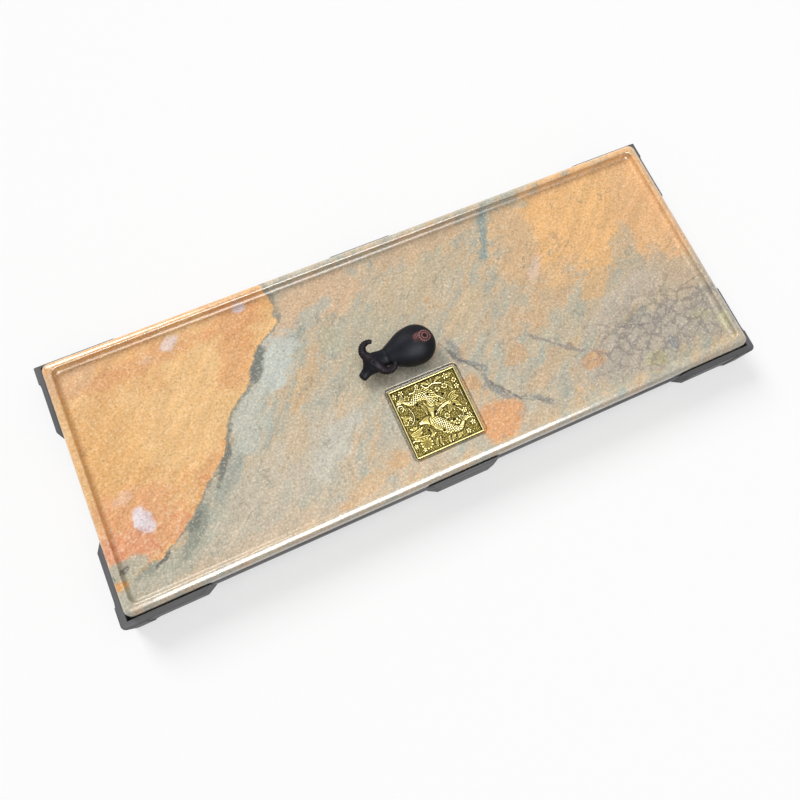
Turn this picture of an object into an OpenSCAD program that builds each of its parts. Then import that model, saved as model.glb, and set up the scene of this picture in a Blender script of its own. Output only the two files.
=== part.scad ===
// Gongfu tea tray: a natural stone slab with a shallow basin, standing on a low black wooden base.
// Millimetres, +Z up. The origin is on the floor, under the middle of the slab. The front is towards -Y.

/* [Stone slab] */
// Length of the slab, left to right
slab_l = 600; // [420:5:900]
// Width of the slab, front to back
slab_w = 230; // [210:5:400]
// Thickness of the slab at its rim
slab_t = 20; // [18:0.5:30]
// Radius of the slab's corners, seen from above
slab_corner_r = 7; // [6.6:0.1:20]
// Radius of the rounded outer top edge
rim_round = 6.5; // [3:0.1:6.5]
// Width of the rim, from the outer edge to the basin wall
rim_w = 8.5; // [8.2:0.1:16]
// Rounding of the rim's inner top edge
rim_inner_round = 1.5; // [0.5:0.1:1.6]
// Depth of the basin below the rim
basin_depth = 6.5; // [6:0.1:9]
// Radius between the basin wall and its floor
basin_fillet = 4; // [2:0.1:4.2]
// Radius of the basin's corners, seen from above
basin_corner_r = 6; // [4.5:0.1:20]
// Chamfer around the underside
under_chamfer = 1.5; // [0.5:0.1:3]

/* [Drain cover] */
// Side of the square brass cover
cover_w = 66; // [62:0.5:70]
// Height of the cover's raised frame
cover_h = 3.2; // [2.6:0.1:3.6]
// Thickness of the plate inside the frame
cover_plate_t = 1.8; // [1.4:0.1:2.2]
// Width of the raised frame
cover_frame_w = 1.8; // [1.2:0.1:4]
// Radius of the cover's corners
cover_corner_r = 2; // [0.5:0.1:4]
// Middle of the cover, to the right of the slab's middle
cover_x = 1; // [-20:0.5:20]
// Middle of the cover, in front of the slab's middle
cover_front = 58; // [52:0.5:60]
// Diameter of the small drain holes
cover_hole_d = 2.6; // [1.6:0.1:3]
// Gap between the cover and the edge of its recess
cover_gap = 2.5; // [1:0.1:4]
// Depth of the cover's top below the basin floor
cover_sunk = 0.8; // [0.2:0.1:1.5]
// Rounding of the recess's top edge
recess_round = 1.2; // [0.5:0.1:1.8]

/* [Drain] */
// Diameter of the round well under the cover
well_d = 54; // [50:0.5:58]
// Depth of the well below the cover's seat
well_depth = 4.5; // [4.2:0.1:5]
// Outer diameter of the tailpiece
tail_d = 20; // [18:0.5:22]
// Bore of the tailpiece
tail_bore_d = 15; // [13:0.5:15.5]
// How far the tailpiece reaches below the slab
tail_drop = 8; // [7.8:0.1:8.4]
// Diameter of the tailpiece's flange
flange_d = 34; // [30:0.5:40]
// Thickness of the flange
flange_t = 1.6; // [1:0.1:2]
// Thickness of the gasket under the flange
gasket_t = 1; // [0.5:0.1:1.5]
// Thickness of the rubber washer under the slab
washer_t = 1.5; // [1:0.1:2]
// Diameter of the rubber washer
washer_d = 34; // [32:0.5:40]
// Size of the lock nut across its corners
nut_d = 34; // [30:0.5:40]
// Height of the lock nut
nut_h = 4; // [3:0.1:4.5]
// Outer diameter of the hose tail
hose_tail_d = 10; // [9:0.1:10.5]
// Bore of the hose tail
hose_bore_d = 7; // [5:0.1:7.5]
// Length of hose tail that a hose is pushed over
hose_grip = 16; // [10:0.5:22]
// Way the hose tail points, anticlockwise from the right
outlet_turn = 68; // [62:1:72]
// Gap between the elbow and the tailpiece that it turns in, on each side
swivel_gap = 0.08; // [0.03:0.01:0.1]

/* [Base] */
// Height of the rails
rail_h = 12; // [12:0.5:20]
// Thickness of the rails
rail_t = 12; // [10:0.5:16]
// Height of the rails' underside above the floor
rail_lift = 8; // [7.6:0.1:12]
// How far the rails stand out past the slab
rail_out = 1.25; // [0.8:0.05:2.5]
// Width of the cross stretchers
stretcher_w = 18; // [12:0.5:30]
// Distance of each stretcher from the slab's end
stretcher_in = 135; // [90:1:140]
// Length of the tenons
tenon_l = 7; // [4:0.5:8]
// Thickness of the tenons
tenon_h = 6; // [4:0.5:7]
// Thickness of the slips across the mitres
spline_t = 2; // [1:0.1:3]
// Side of those square slips
spline_w = 6.5; // [4:0.5:6.5]
// Width of the notch for a hose
notch_w = 24; // [22:0.5:32]
// Height of the notch above the rail's underside
notch_h = 7; // [6.5:0.1:8]
// Play around glued joints, on each side
glue_gap = 0.05; // [0.02:0.01:0.2]

/* [Feet] */
// Length of each leg of a corner foot, from the outer corner
foot_leg = 75; // [60:1:90]
// How far the feet stand out past the rails
foot_out = 5; // [2.5:0.1:8]
// How far the back feet reach past the slab at the back, where they are planed flat
back_out = 3.2; // [3.2:0.1:12]
// How much further the corners flare out
foot_flare = 1.2; // [0.2:0.1:3]
// Length of each slanted end
foot_taper = 9; // [4:0.5:14]
// Width of the middle feet where they meet the rail
mid_foot_w = 69; // [50:1:100]
// How far the middle feet sit to the right
mid_foot_x = 3; // [-20:0.5:20]
// How far the feet rise above the slab's underside
foot_rise = 9.5; // [4:0.5:12]
// Radius of the corner feet's outer corner
foot_corner_r = 5; // [2:0.1:5.8]
// Bevel on the feet's top edges
foot_bevel = 0.8; // [0.2:0.1:1.5]
// Diameter of the rubber pads under the feet
pad_d = 10; // [6:0.5:11]
// Thickness of the rubber pads
pad_t = 2; // [1:0.1:3]
// Depth of the sockets that the pads sit in
pad_socket = 0.5; // [0.2:0.1:0.9]
// Diameter of the silicone pads under the slab
slab_pad_d = 8; // [5:0.5:8.5]
// Thickness of the silicone pads
slab_pad_t = 1; // [0.5:0.1:2]
// Diameter of the wood screws
screw_d = 4; // [3:0.1:4.5]
// Length of the wood screws
screw_l = 14; // [10:0.5:15]

/* [Tea pet] */
// Largest half width of the gourd-shaped body
pet_r = 18.5; // [12:0.5:20]
// Height of the body's middle above the basin floor
pet_rise = 14; // [10:0.5:16]
// Middle of the body's round end, to the right of the slab's middle
pet_x = 6.5; // [-180:0.5:180]
// Middle of the body's round end, behind the slab's middle
pet_y = 2; // [-3:0.5:70]
// Distance from the round end's middle to the neck
pet_neck_at = 36; // [30:0.5:44]
// Half width of the neck
pet_neck_r = 7; // [5:0.1:9]
// Half width of the skull
pet_skull_r = 8.4; // [6:0.1:10]
// Half width of the muzzle
pet_muzzle_r = 4.4; // [3:0.1:6]
// Length of the head, from the back of the skull to the nose
pet_head_l = 21; // [16:0.5:28]
// Turn of the head towards the front
pet_head_turn = 28; // [0:1:45]
// Reach of each horn to the side
pet_horn_reach = 16.8; // [13:0.1:20]
// Half thickness of the horns at the root
pet_horn_r = 3; // [2:0.1:4]

/* [Hidden] */
$fn = 64;
eps = 0.5;

// Heights above the floor
foot_z = pad_t - pad_socket;
rail_z = rail_lift;
rail_top = rail_z + rail_h;
slab_z = rail_top + slab_pad_t;
slab_top = slab_z + slab_t;
basin_z = slab_top - basin_depth;
cover_top = basin_z - cover_sunk;
seat_z = cover_top - cover_h;
well_z = seat_z - well_depth;
foot_top = slab_z + foot_rise;

// Plan of the rails and the feet
frame_l = slab_l + 2 * rail_out;
frame_w = slab_w + 2 * rail_out;
shelf_w = rail_t + 2;
cover_y = -cover_front;
recess_w = cover_w + 2 * cover_gap;
recess_r = cover_corner_r + cover_gap;

// Drain
hole_d = tail_d + 1;
tail_z = slab_z - tail_drop;
elbow_r = tail_bore_d / 2 - swivel_gap;
elbow_wall = 2.8;
elbow_bore_d = 2 * (elbow_r - elbow_wall);
flange_top = well_z + gasket_t + flange_t;
clip_t = 1;
clip_z = flange_top - 2.4 * clip_t;
clip_d = tail_bore_d + 1.8;
knuckle_h = hose_tail_d + 1;
elbow_z = tail_z - swivel_gap - knuckle_h / 2;
knuckle_r = tail_bore_d / 2 + 1;
hose_tail_l = knuckle_r + hose_grip + 1;
hose_tip = 0.5;
collar = 0.4;
ring_groove = 1.4;
ring_d = ring_groove - 2 * swivel_gap;
ring_z = tail_z + 6;

// Places along the base
pad_in = foot_leg - foot_taper - pad_d;
screw_in = pad_in - 22;
rail_mid = rail_t / 2;
head_d = 2 * screw_d;
head_h = screw_d / 2;
stretcher_at = slab_l / 2 - stretcher_in;
tenon_w = stretcher_w - 6;
slab_pad_in = rail_out + slab_pad_d / 2 + under_chamfer + 0.5;
front = -1;
back = 1;
left = -1;
right = 1;

// A quarter of a disc in the first quadrant
module quarter(r) {
    intersection() {
        circle(r);
        square(r);
    }
}

// Carries a 2D profile around a rounded rectangle l by w. The profile's x runs outwards from 0 at the
// corner's centre to r at the edge, and its y is the height.
module around(l, w, r) {
    for (q = [0:3]) {
        side = q % 2 == 0 ? l : w;
        across = q % 2 == 0 ? w : l;
        rotate(90 * q) translate([r - side / 2, across / 2 - r, 0])
            rotate([90, 0, 90]) linear_extrude(side - 2 * r) children();
        rotate(90 * q) translate([side / 2 - r, across / 2 - r, 0])
            rotate_extrude(angle = 90) children();
    }
}

// A plain block with rounded corners, from z to z + h
module rounded_block(l, w, r, z, h) {
    translate([0, 0, z]) {
        around(l, w, r) square([r, h]);
        translate([r - l / 2, r - w / 2, 0]) cube([l - 2 * r, w - 2 * r, h]);
    }
}

// The slab's outer shape, with its rounded top edge
module slab_body() {
    around(slab_l, slab_w, slab_corner_r) difference() {
        union() {
            square([slab_corner_r - rim_round, slab_t]);
            square([slab_corner_r, slab_t - rim_round]);
            translate([slab_corner_r - rim_round, slab_t - rim_round]) quarter(rim_round);
        }
        translate([slab_corner_r, 0]) rotate(45) square(under_chamfer * sqrt(2), center = true);
    }
    translate([slab_corner_r - slab_l / 2, slab_corner_r - slab_w / 2, 0])
        cube([slab_l - 2 * slab_corner_r, slab_w - 2 * slab_corner_r, slab_t]);
}

// A pocket cut from the top down to a given depth, with a rounded mouth and a rounded foot
module pocket(l, w, r, depth, mouth, fillet) {
    translate([0, 0, -depth]) {
        around(l, w, r) {
            translate([0, fillet]) square([r, depth - fillet + eps]);
            square([r - fillet, fillet]);
            translate([r - fillet, fillet]) rotate(-90) quarter(fillet);
            translate([r, depth - mouth]) difference() {
                square([mouth, mouth + eps]);
                translate([mouth, 0]) circle(mouth);
            }
        }
        translate([r - l / 2, r - w / 2, 0]) cube([l - 2 * r, w - 2 * r, depth + eps]);
    }
}

// Something placed at the drain
module at_drain(z) {
    translate([cover_x, cover_y, z]) children();
}

// A ring around the z axis, from z = 0 to h
module ring(outer_d, inner_d, h) {
    difference() {
        cylinder(d = outer_d, h = h);
        translate([0, 0, -eps]) cylinder(d = inner_d, h = h + 2 * eps);
    }
}

module stone_slab() color("#d9a86c") difference() {
    translate([0, 0, slab_z]) slab_body();
    translate([0, 0, slab_top]) pocket(slab_l - 2 * rim_w, slab_w - 2 * rim_w, basin_corner_r,
        basin_depth, rim_inner_round, basin_fillet);
    at_drain(basin_z) pocket(recess_w, recess_w, recess_r, basin_z - seat_z, recess_round, 0.6);
    at_drain(well_z) cylinder(d = well_d, h = well_depth + eps);
    at_drain(slab_z - eps) cylinder(d = hole_d, h = slab_t);
}

module drain_cover() color("#c9a53c") at_drain(seat_z) difference() {
    rounded_block(cover_w, cover_w, cover_corner_r, 0, cover_h);
    rounded_block(cover_w - 2 * cover_frame_w, cover_w - 2 * cover_frame_w, 0.6, cover_plate_t, cover_h);
    for (a = [0:45:315])
        rotate(a) translate([cover_w * 0.27, 0, -eps]) cylinder(d = cover_hole_d, h = cover_h);
    translate([0, 0, -eps]) cylinder(d = cover_hole_d, h = cover_h);
}

// The flange and its tube, with a step near the top of the bore that the elbow's split ring lies on
module drain_flange() color("#b8a05a") at_drain(0) difference() {
    union() {
        translate([0, 0, flange_top - flange_t]) cylinder(d = flange_d, h = flange_t);
        translate([0, 0, tail_z]) cylinder(d = tail_d, h = flange_top - tail_z);
    }
    translate([0, 0, tail_z - eps]) cylinder(d = tail_bore_d, h = flange_top);
    translate([0, 0, clip_z]) cylinder(d = clip_d + 4 * glue_gap, h = flange_top);
}

module flange_gasket() color("#2b2b2b")
    at_drain(well_z) ring(flange_d - 2, tail_d + 2 * glue_gap, gasket_t);

module backing_washer() color("#222222")
    at_drain(slab_z - washer_t) ring(washer_d, tail_d + 2 * glue_gap, washer_t);

module lock_nut() color("#e6e4dc") at_drain(slab_z - washer_t - nut_h) difference() {
    cylinder(d = nut_d, h = nut_h, $fn = 6);
    translate([0, 0, -eps]) cylinder(d = tail_d + 2 * glue_gap, h = nut_h + 2 * eps);
}

// The elbow: a spigot that turns inside the tailpiece, a knuckle, and the hose tail with a low collar
// at its root that stops the hose and a chamfered tip
module outlet_elbow() color("#e8e6de") at_drain(0) difference() {
    union() {
        translate([0, 0, elbow_z]) cylinder(r = elbow_r, h = clip_z + 1.8 * clip_t - elbow_z);
        translate([0, 0, elbow_z - knuckle_h / 2]) cylinder(r = knuckle_r, h = knuckle_h);
        translate([0, 0, elbow_z]) rotate(outlet_turn) rotate([0, 90, 0]) {
            cylinder(d = hose_tail_d, h = hose_tail_l);
            cylinder(d = hose_tail_d + 2 * collar, h = hose_tail_l - hose_grip - collar);
            translate([0, 0, hose_tail_l - hose_grip - collar])
                cylinder(d1 = hose_tail_d + 2 * collar, d2 = hose_tail_d, h = collar);
            translate([0, 0, hose_tail_l])
                cylinder(d1 = hose_tail_d, d2 = hose_tail_d - 2 * hose_tip, h = hose_tip);
        }
    }
    translate([0, 0, elbow_z - hose_bore_d / 2 - 0.5]) cylinder(d = elbow_bore_d, h = flange_top);
    translate([0, 0, elbow_z]) rotate(outlet_turn) rotate([0, 90, 0])
        cylinder(d = hose_bore_d, h = hose_tail_l + hose_tip + eps);
    translate([0, 0, ring_z - ring_groove / 2]) ring(2 * elbow_r + 1, 2 * (elbow_r - ring_groove), ring_groove);
    translate([0, 0, clip_z]) ring(2 * elbow_r + 1, 2 * (elbow_r - clip_t), clip_t);
}

module elbow_o_ring() color("#1c1c1c") at_drain(ring_z)
    rotate_extrude() translate([elbow_r - ring_groove / 2, 0]) circle(d = ring_d);

// The split ring lies in the elbow's top groove and rests on the step in the tailpiece's bore
module elbow_clip() color("#c8ccd0") at_drain(clip_z + swivel_gap) difference() {
    ring(clip_d, 2 * (elbow_r - clip_t + swivel_gap), clip_t - 2 * swivel_gap);
    translate([0, -clip_t, -eps]) cube([tail_d, 2 * clip_t, 2 * clip_t]);
}

// A rail along x at the front, mitred at both ends
module rail_blank(length) {
    translate([0, 0, rail_z]) linear_extrude(rail_h) polygon([
        [-length / 2, 0],
        [length / 2, 0],
        [length / 2 - rail_t, rail_t],
        [rail_t - length / 2, rail_t]
    ]);
}

// Slips across the four mitres, or the slots for them with some play
module mitre_slips(play) {
    for (sx = [left, right], sy = [front, back])
        translate([sx * (frame_l / 2 - rail_mid), sy * (frame_w / 2 - rail_mid), rail_z + rail_h / 2])
            rotate(sx * sy * 45)
                cube([spline_w + 2 * play, spline_w + 2 * play, spline_t + 2 * play], center = true);
}

// One stretcher with its two tenons, grown by some play on its ends
module stretcher(sx, play) {
    long = frame_w - 2 * rail_t;
    translate([sx * stretcher_at, 0, rail_z + rail_h / 2])
        cube([tenon_w + 2 * play, long + 2 * tenon_l + 2 * play, tenon_h + 2 * play], center = true);
    if (play == 0)
        translate([sx * stretcher_at - stretcher_w / 2, -long / 2, rail_z])
            cube([stretcher_w, long, rail_h]);
}

// Places of the screws, each measured along its rail
function corner_screws() = [for (sx = [left, right], sy = [front, back], k = [0, 1])
    k == 0 ? [sx * (frame_l / 2 - screw_in), sy * (frame_w / 2 - rail_mid)]
        : [sx * (frame_l / 2 - rail_mid), sy * (frame_w / 2 - screw_in)]];
function middle_screws() = [for (sx = [left, right], sy = [front, back])
    [mid_foot_x + sx * (mid_foot_w / 2 - 14), sy * (frame_w / 2 - rail_mid)]];
function corner_pads() = [for (sx = [left, right], sy = [front, back], k = [0, 1])
    k == 0 ? [sx * (frame_l / 2 - pad_in), sy * (frame_w / 2 - rail_mid)]
        : [sx * (frame_l / 2 - rail_mid), sy * (frame_w / 2 - pad_in)]];
function middle_pads() = [for (sy = [front, back]) [mid_foot_x, sy * (frame_w / 2 - rail_mid)]];

// A countersunk wood screw pointing up, or the hole for one with some play
module screw(play) {
    cylinder(d1 = head_d + 2 * play, d2 = screw_d + 2 * play, h = head_h);
    cylinder(d = screw_d + 2 * play, h = screw_l + play);
}

module screw_holes() {
    for (p = concat(corner_screws(), middle_screws())) {
        translate([p[0], p[1], foot_z]) screw(glue_gap);
        translate([p[0], p[1], foot_z - eps]) cylinder(d = head_d + 2 * glue_gap, h = eps + 0.01);
    }
}

module rail_cuts() {
    mitre_slips(glue_gap);
    stretcher(left, glue_gap);
    stretcher(right, glue_gap);
    screw_holes();
}

module front_rail() color("#2c2b2d") difference() {
    translate([0, -frame_w / 2, 0]) rail_blank(frame_l);
    rail_cuts();
}

module back_rail() color("#2c2b2d") difference() {
    translate([0, frame_w / 2, 0]) rotate(180) rail_blank(frame_l);
    rail_cuts();
    notch_x = cover_x + (frame_w / 2 - rail_mid - cover_y) / tan(outlet_turn);
    translate([notch_x - notch_w / 2, frame_w / 2 - rail_t - eps, rail_z - eps])
        cube([notch_w, rail_t + 2 * eps, notch_h + eps]);
}

module left_rail() color("#2c2b2d") difference() {
    translate([-frame_l / 2, 0, 0]) rotate(-90) rail_blank(frame_w);
    rail_cuts();
}

module right_rail() color("#2c2b2d") difference() {
    translate([frame_l / 2, 0, 0]) rotate(90) rail_blank(frame_w);
    rail_cuts();
}

module left_stretcher() color("#6b4a33") stretcher(left, 0);

module right_stretcher() color("#6b4a33") stretcher(right, 0);

module corner_splines() color("#8a6a48") mitre_slips(0);

// Plan of one leg of a corner foot, from the corner at the origin along +x, standing out towards -y
module leg_plan(inset) {
    polygon([
        [-foot_out - foot_flare + inset, -foot_out - foot_flare + inset],
        [foot_taper, -foot_out - foot_flare + inset],
        [2 * foot_taper, -foot_out + inset],
        [foot_leg - foot_out - foot_taper - inset, -foot_out + inset],
        [foot_leg - foot_out - inset, 0],
        [foot_leg - foot_out - inset, shelf_w],
        [-foot_out - foot_flare + inset, shelf_w]
    ]);
}

// Plan of a whole corner foot at the frame's front left corner, with its rounded outer corner
module corner_plan(inset) {
    tip = foot_out + foot_flare - inset;
    difference() {
        union() {
            leg_plan(inset);
            mirror([1, -1, 0]) leg_plan(inset);
        }
        translate([-tip, -tip]) difference() {
            square(foot_corner_r);
            translate([foot_corner_r, foot_corner_r]) circle(foot_corner_r);
        }
    }
}

// Plan of a middle foot at the front, centred on x, standing out towards -y
module middle_plan(inset) {
    polygon([
        [foot_taper - mid_foot_w / 2 + inset, -foot_out + inset],
        [mid_foot_w / 2 - foot_taper - inset, -foot_out + inset],
        [mid_foot_w / 2 - inset, 0],
        [mid_foot_w / 2 - inset, shelf_w],
        [inset - mid_foot_w / 2, shelf_w],
        [inset - mid_foot_w / 2, 0]
    ]);
}

// A foot from its plan: a shelf under the rails and a wall outside them, with a stepped top edge
module foot_from(corner) {
    difference() {
        union() {
            translate([0, 0, foot_z]) linear_extrude(foot_top - foot_z - foot_bevel) children(0);
            translate([0, 0, foot_top - foot_bevel - eps]) linear_extrude(foot_bevel + eps) children(1);
        }
        translate([corner ? 0 : -slab_l / 2, 0, rail_z]) cube([slab_l, slab_w / 2, slab_t + rail_h]);
    }
}

// What is planed off the back feet, so that the tray stands close to a wall
module back_planing() translate([-slab_l, slab_w / 2 + back_out, 0]) cube([2 * slab_l, slab_w, slab_top]);

module corner_foot(sx, sy) color("#3a393b") difference() {
    mirror([sx == right ? 1 : 0, 0, 0]) mirror([0, sy == back ? 1 : 0, 0])
        translate([-frame_l / 2, -frame_w / 2, 0]) foot_from(true) {
            corner_plan(0);
            corner_plan(foot_bevel);
        }
    if (sy == back) back_planing();
    screw_holes();
    for (p = corner_pads())
        translate([p[0], p[1], 0]) cylinder(d = pad_d + 2 * glue_gap, h = pad_t);
}

module middle_foot(sy) color("#3a393b") difference() {
    translate([mid_foot_x, 0, 0]) mirror([0, sy == back ? 1 : 0, 0])
        translate([0, -frame_w / 2, 0]) foot_from(false) {
            middle_plan(0);
            middle_plan(foot_bevel);
        }
    if (sy == back) back_planing();
    screw_holes();
    for (p = middle_pads())
        translate([p[0], p[1], 0]) cylinder(d = pad_d + 2 * glue_gap, h = pad_t);
}

module front_left_foot() corner_foot(left, front);
module front_right_foot() corner_foot(right, front);
module back_left_foot() corner_foot(left, back);
module back_right_foot() corner_foot(right, back);
module front_middle_foot() middle_foot(front);
module back_middle_foot() middle_foot(back);

module foot_pads() color("#1d1d1d")
    for (p = concat(corner_pads(), middle_pads()))
        translate([p[0], p[1], 0]) cylinder(d = pad_d, h = pad_t);

module foot_screws() color("#a9a9ad")
    for (p = concat(corner_screws(), middle_screws()))
        translate([p[0], p[1], foot_z]) difference() {
            screw(0);
            translate([-head_d, -screw_d / 10, -eps]) cube([2 * head_d, screw_d / 5, head_h / 2 + eps]);
        }

module slab_pads() color("#d8dcdc") {
    for (sx = [left, 0, right], sy = [front, back])
        translate([sx * (slab_l / 2 - foot_leg), sy * (frame_w / 2 - slab_pad_in), rail_top])
            cylinder(d = slab_pad_d, h = slab_pad_t);
    for (sx = [left, right])
        translate([sx * stretcher_at, 0, rail_top]) cylinder(d = slab_pad_d, h = slab_pad_t);
}

// A closed body through rings along a level path. Each ring is an upright ellipse, given as
// [x, y, z, heading, half width, half height].
module loft(rings, sides) {
    points = [for (r = rings, i = [0:sides - 1]) let (t = 360 * i / sides)
        [r[0] - r[4] * cos(t) * sin(r[3]), r[1] + r[4] * cos(t) * cos(r[3]), r[2] + r[5] * sin(t)]];
    last = (len(rings) - 1) * sides;
    walls = [for (k = [0:len(rings) - 2], i = [0:sides - 1]) let (a = k * sides, j = (i + 1) % sides)
        [a + i, a + sides + i, a + sides + j, a + j]];
    start = [for (i = [0:sides - 1]) i];
    end = [for (i = [sides - 1:-1:0]) last + i];
    polyhedron(points, concat([start], walls, [end]));
}

// The body's half width at a share s of the way from the round end's middle to the neck
function pet_width(s) = pet_neck_r + (pet_r - pet_neck_r) * (1 + cos(180 * pow(s, 1.15))) / 2;

// The gourd-shaped body, from its round end to inside the head. The flatness is height over width.
module pet_body() {
    flatness = 0.88;
    round_end = [for (a = [84:-12:12]) [pet_r * sin(a), pet_r * cos(a), pet_rise]];
    taper = [for (s = [0:0.1:1.1]) [-pet_neck_at * s, pet_width(min(s, 1)), pet_rise - 1.5 * s]];
    translate([pet_x, pet_y, basin_z])
        loft([for (r = concat(round_end, taper)) [r[0], 0, r[2], 180, r[1], r[1] * flatness]], 28);
}

// The head, drawn nose first along +x with the back of the skull at the origin. Each row of the table
// holds a share of the length, then the half width, half height and middle as shares.
module pet_skull() {
    wide = pet_skull_r;
    narrow = pet_muzzle_r;
    loft([
        [0, 0, pet_rise, 0, wide * 0.45, wide * 0.4],
        [pet_head_l * 0.1, 0, pet_rise, 0, wide * 0.85, wide * 0.75],
        [pet_head_l * 0.3, 0, pet_rise, 0, wide, wide * 0.9],
        [pet_head_l * 0.5, 0, pet_rise - 1, 0, wide * 0.86, wide * 0.84],
        [pet_head_l * 0.7, 0, pet_rise - 3.5, 0, narrow * 1.1, narrow * 1.35],
        [pet_head_l * 0.85, 0, pet_rise - 5, 0, narrow, narrow * 1.05],
        [pet_head_l * 0.96, 0, pet_rise - 5.4, 0, narrow * 0.8, narrow * 0.8],
        [pet_head_l, 0, pet_rise - 5.5, 0, narrow * 0.4, narrow * 0.4]
    ], 24);
}

// One horn: out of the skull to the side, then curling back in an arc
module pet_horn() {
    root_x = pet_head_l * 0.3;
    bend = 6;
    arc_x = root_x - bend;
    arc_y = pet_horn_reach - bend;
    z = pet_rise + 2;
    loft(concat(
        [[root_x, pet_skull_r * 0.5, z - 1, 90, pet_horn_r, pet_horn_r]],
        [for (k = [0:6]) let (a = 90 * (1 - k / 6 * 1.4))
            [arc_x + bend * sin(a), arc_y + bend * cos(a), z + k / 6, 180 - a,
                pet_horn_r * (1 - k / 10), pet_horn_r * (1 - k / 10)]]
    ), 16);
}

module tea_pet() color("#23242c") intersection() {
    union() {
        pet_body();
        translate([pet_x - pet_neck_at + 1, pet_y + 2, basin_z]) rotate(180 + pet_head_turn) {
            pet_skull();
            pet_horn();
            mirror([0, 1, 0]) pet_horn();
        }
    }
    translate([pet_x - 2 * pet_neck_at, pet_y - 2 * pet_r, basin_z])
        cube([4 * pet_neck_at, 4 * pet_r, 4 * pet_r]);
}

stone_slab();
drain_cover();
drain_flange();
flange_gasket();
backing_washer();
lock_nut();
outlet_elbow();
elbow_o_ring();
elbow_clip();
front_rail();
back_rail();
left_rail();
right_rail();
left_stretcher();
right_stretcher();
corner_splines();
front_left_foot();
front_right_foot();
back_left_foot();
back_right_foot();
front_middle_foot();
back_middle_foot();
foot_pads();
foot_screws();
slab_pads();
tea_pet();
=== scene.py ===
"""Looks of the gongfu tea tray: the stone slab, the brass drain cover, the clay tea pet and the base.

Lengths are in millimetres until a mesh is made, which is in metres. The origin is on the floor under the
middle of the slab, the front is towards -Y, and heights named "up" are measured from the basin's floor.
"""

import logging
import math
from collections.abc import Sequence
from dataclasses import dataclass, field
from enum import Enum

import bpy
import numpy as np
from mathutils import Matrix

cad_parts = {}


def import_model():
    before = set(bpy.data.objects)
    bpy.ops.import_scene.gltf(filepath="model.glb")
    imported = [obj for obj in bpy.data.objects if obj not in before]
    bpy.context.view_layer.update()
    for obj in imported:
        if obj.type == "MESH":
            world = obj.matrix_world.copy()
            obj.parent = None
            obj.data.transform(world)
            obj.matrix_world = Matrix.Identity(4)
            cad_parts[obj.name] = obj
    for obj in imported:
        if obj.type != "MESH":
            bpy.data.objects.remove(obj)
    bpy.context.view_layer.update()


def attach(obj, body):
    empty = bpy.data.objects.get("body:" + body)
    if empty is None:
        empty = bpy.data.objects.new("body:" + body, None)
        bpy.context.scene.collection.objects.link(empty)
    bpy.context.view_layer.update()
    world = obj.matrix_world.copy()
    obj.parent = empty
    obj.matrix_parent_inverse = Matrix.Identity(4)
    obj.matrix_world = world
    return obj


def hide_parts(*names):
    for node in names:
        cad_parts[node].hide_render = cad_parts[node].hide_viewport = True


log = logging.getLogger("tea_tray")

MM = 0.001
BASIN_Z = 34.5
Array = np.ndarray
Point = tuple[float, float]
Socket = bpy.types.NodeSocket
Value = Socket | float | tuple[float, ...]


def linear(colour: str) -> tuple[float, float, float, float]:
    """Turns a hex sRGB colour into linear values.

    Args:
        colour: Six hex digits after a hash sign.

    Returns:
        Linear red, green, blue and an alpha of 1.
    """
    parts = [int(colour[k : k + 2], 16) / 255 for k in (1, 3, 5)]
    red, green, blue = (c / 12.92 if c <= 0.04045 else ((c + 0.055) / 1.055) ** 2.4 for c in parts)
    return red, green, blue, 1.0


def add_node(
    tree: bpy.types.NodeTree,
    kind: str,
    inputs: dict[str | int, Value],
    stops: Sequence[tuple[float, str]] = (),
    points: Sequence[Point] = (),
    **settings: object,
) -> bpy.types.Node:
    """Adds a node with its settings and links.

    Args:
        tree: The material's node tree.
        kind: Blender's name for the kind of node.
        inputs: For each input, the socket that feeds it or the value it is set to.
        stops: Places and hex colours of a colour ramp.
        points: Points of a float curve, from 0 to 1 both ways.
        settings: The node's own properties.

    Returns:
        The new node.
    """
    node = tree.nodes.new(kind)
    for name, value in settings.items():
        setattr(node, name, value)
    for key, value in inputs.items():
        if isinstance(value, Socket):
            tree.links.new(value, node.inputs[key])
        else:
            node.inputs[key].default_value = value
    if stops:
        elements = node.color_ramp.elements
        while len(elements) < len(stops):
            elements.new(0.5)
        for element, (place, colour) in zip(elements, stops):
            element.position, element.color = place, linear(colour)
    if points:
        curve = node.mapping.curves[0]
        while len(curve.points) < len(points):
            curve.points.new(0.5, 0.5)
        for spot, (x, y) in zip(curve.points, points):
            spot.location, spot.handle_type = (x, y), "VECTOR"
        node.mapping.update()
    return node


def new_material(name: str) -> tuple[bpy.types.Material, bpy.types.Node, Socket]:
    """Starts a material with a Principled shader and coordinates in millimetres.

    Args:
        name: The finish's name.

    Returns:
        The material, its shader and the object's own coordinates in millimetres.
    """
    material = bpy.data.materials.new(name)
    material.use_nodes = True
    tree = material.node_tree
    shader = next(n for n in tree.nodes if n.type == "BSDF_PRINCIPLED")
    place = add_node(tree, "ShaderNodeTexCoord", {})
    scaled = add_node(
        tree, "ShaderNodeMapping", {"Vector": place.outputs["Object"], "Scale": (1000, 1000, 1000)}
    )
    return material, shader, scaled.outputs[0]


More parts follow.
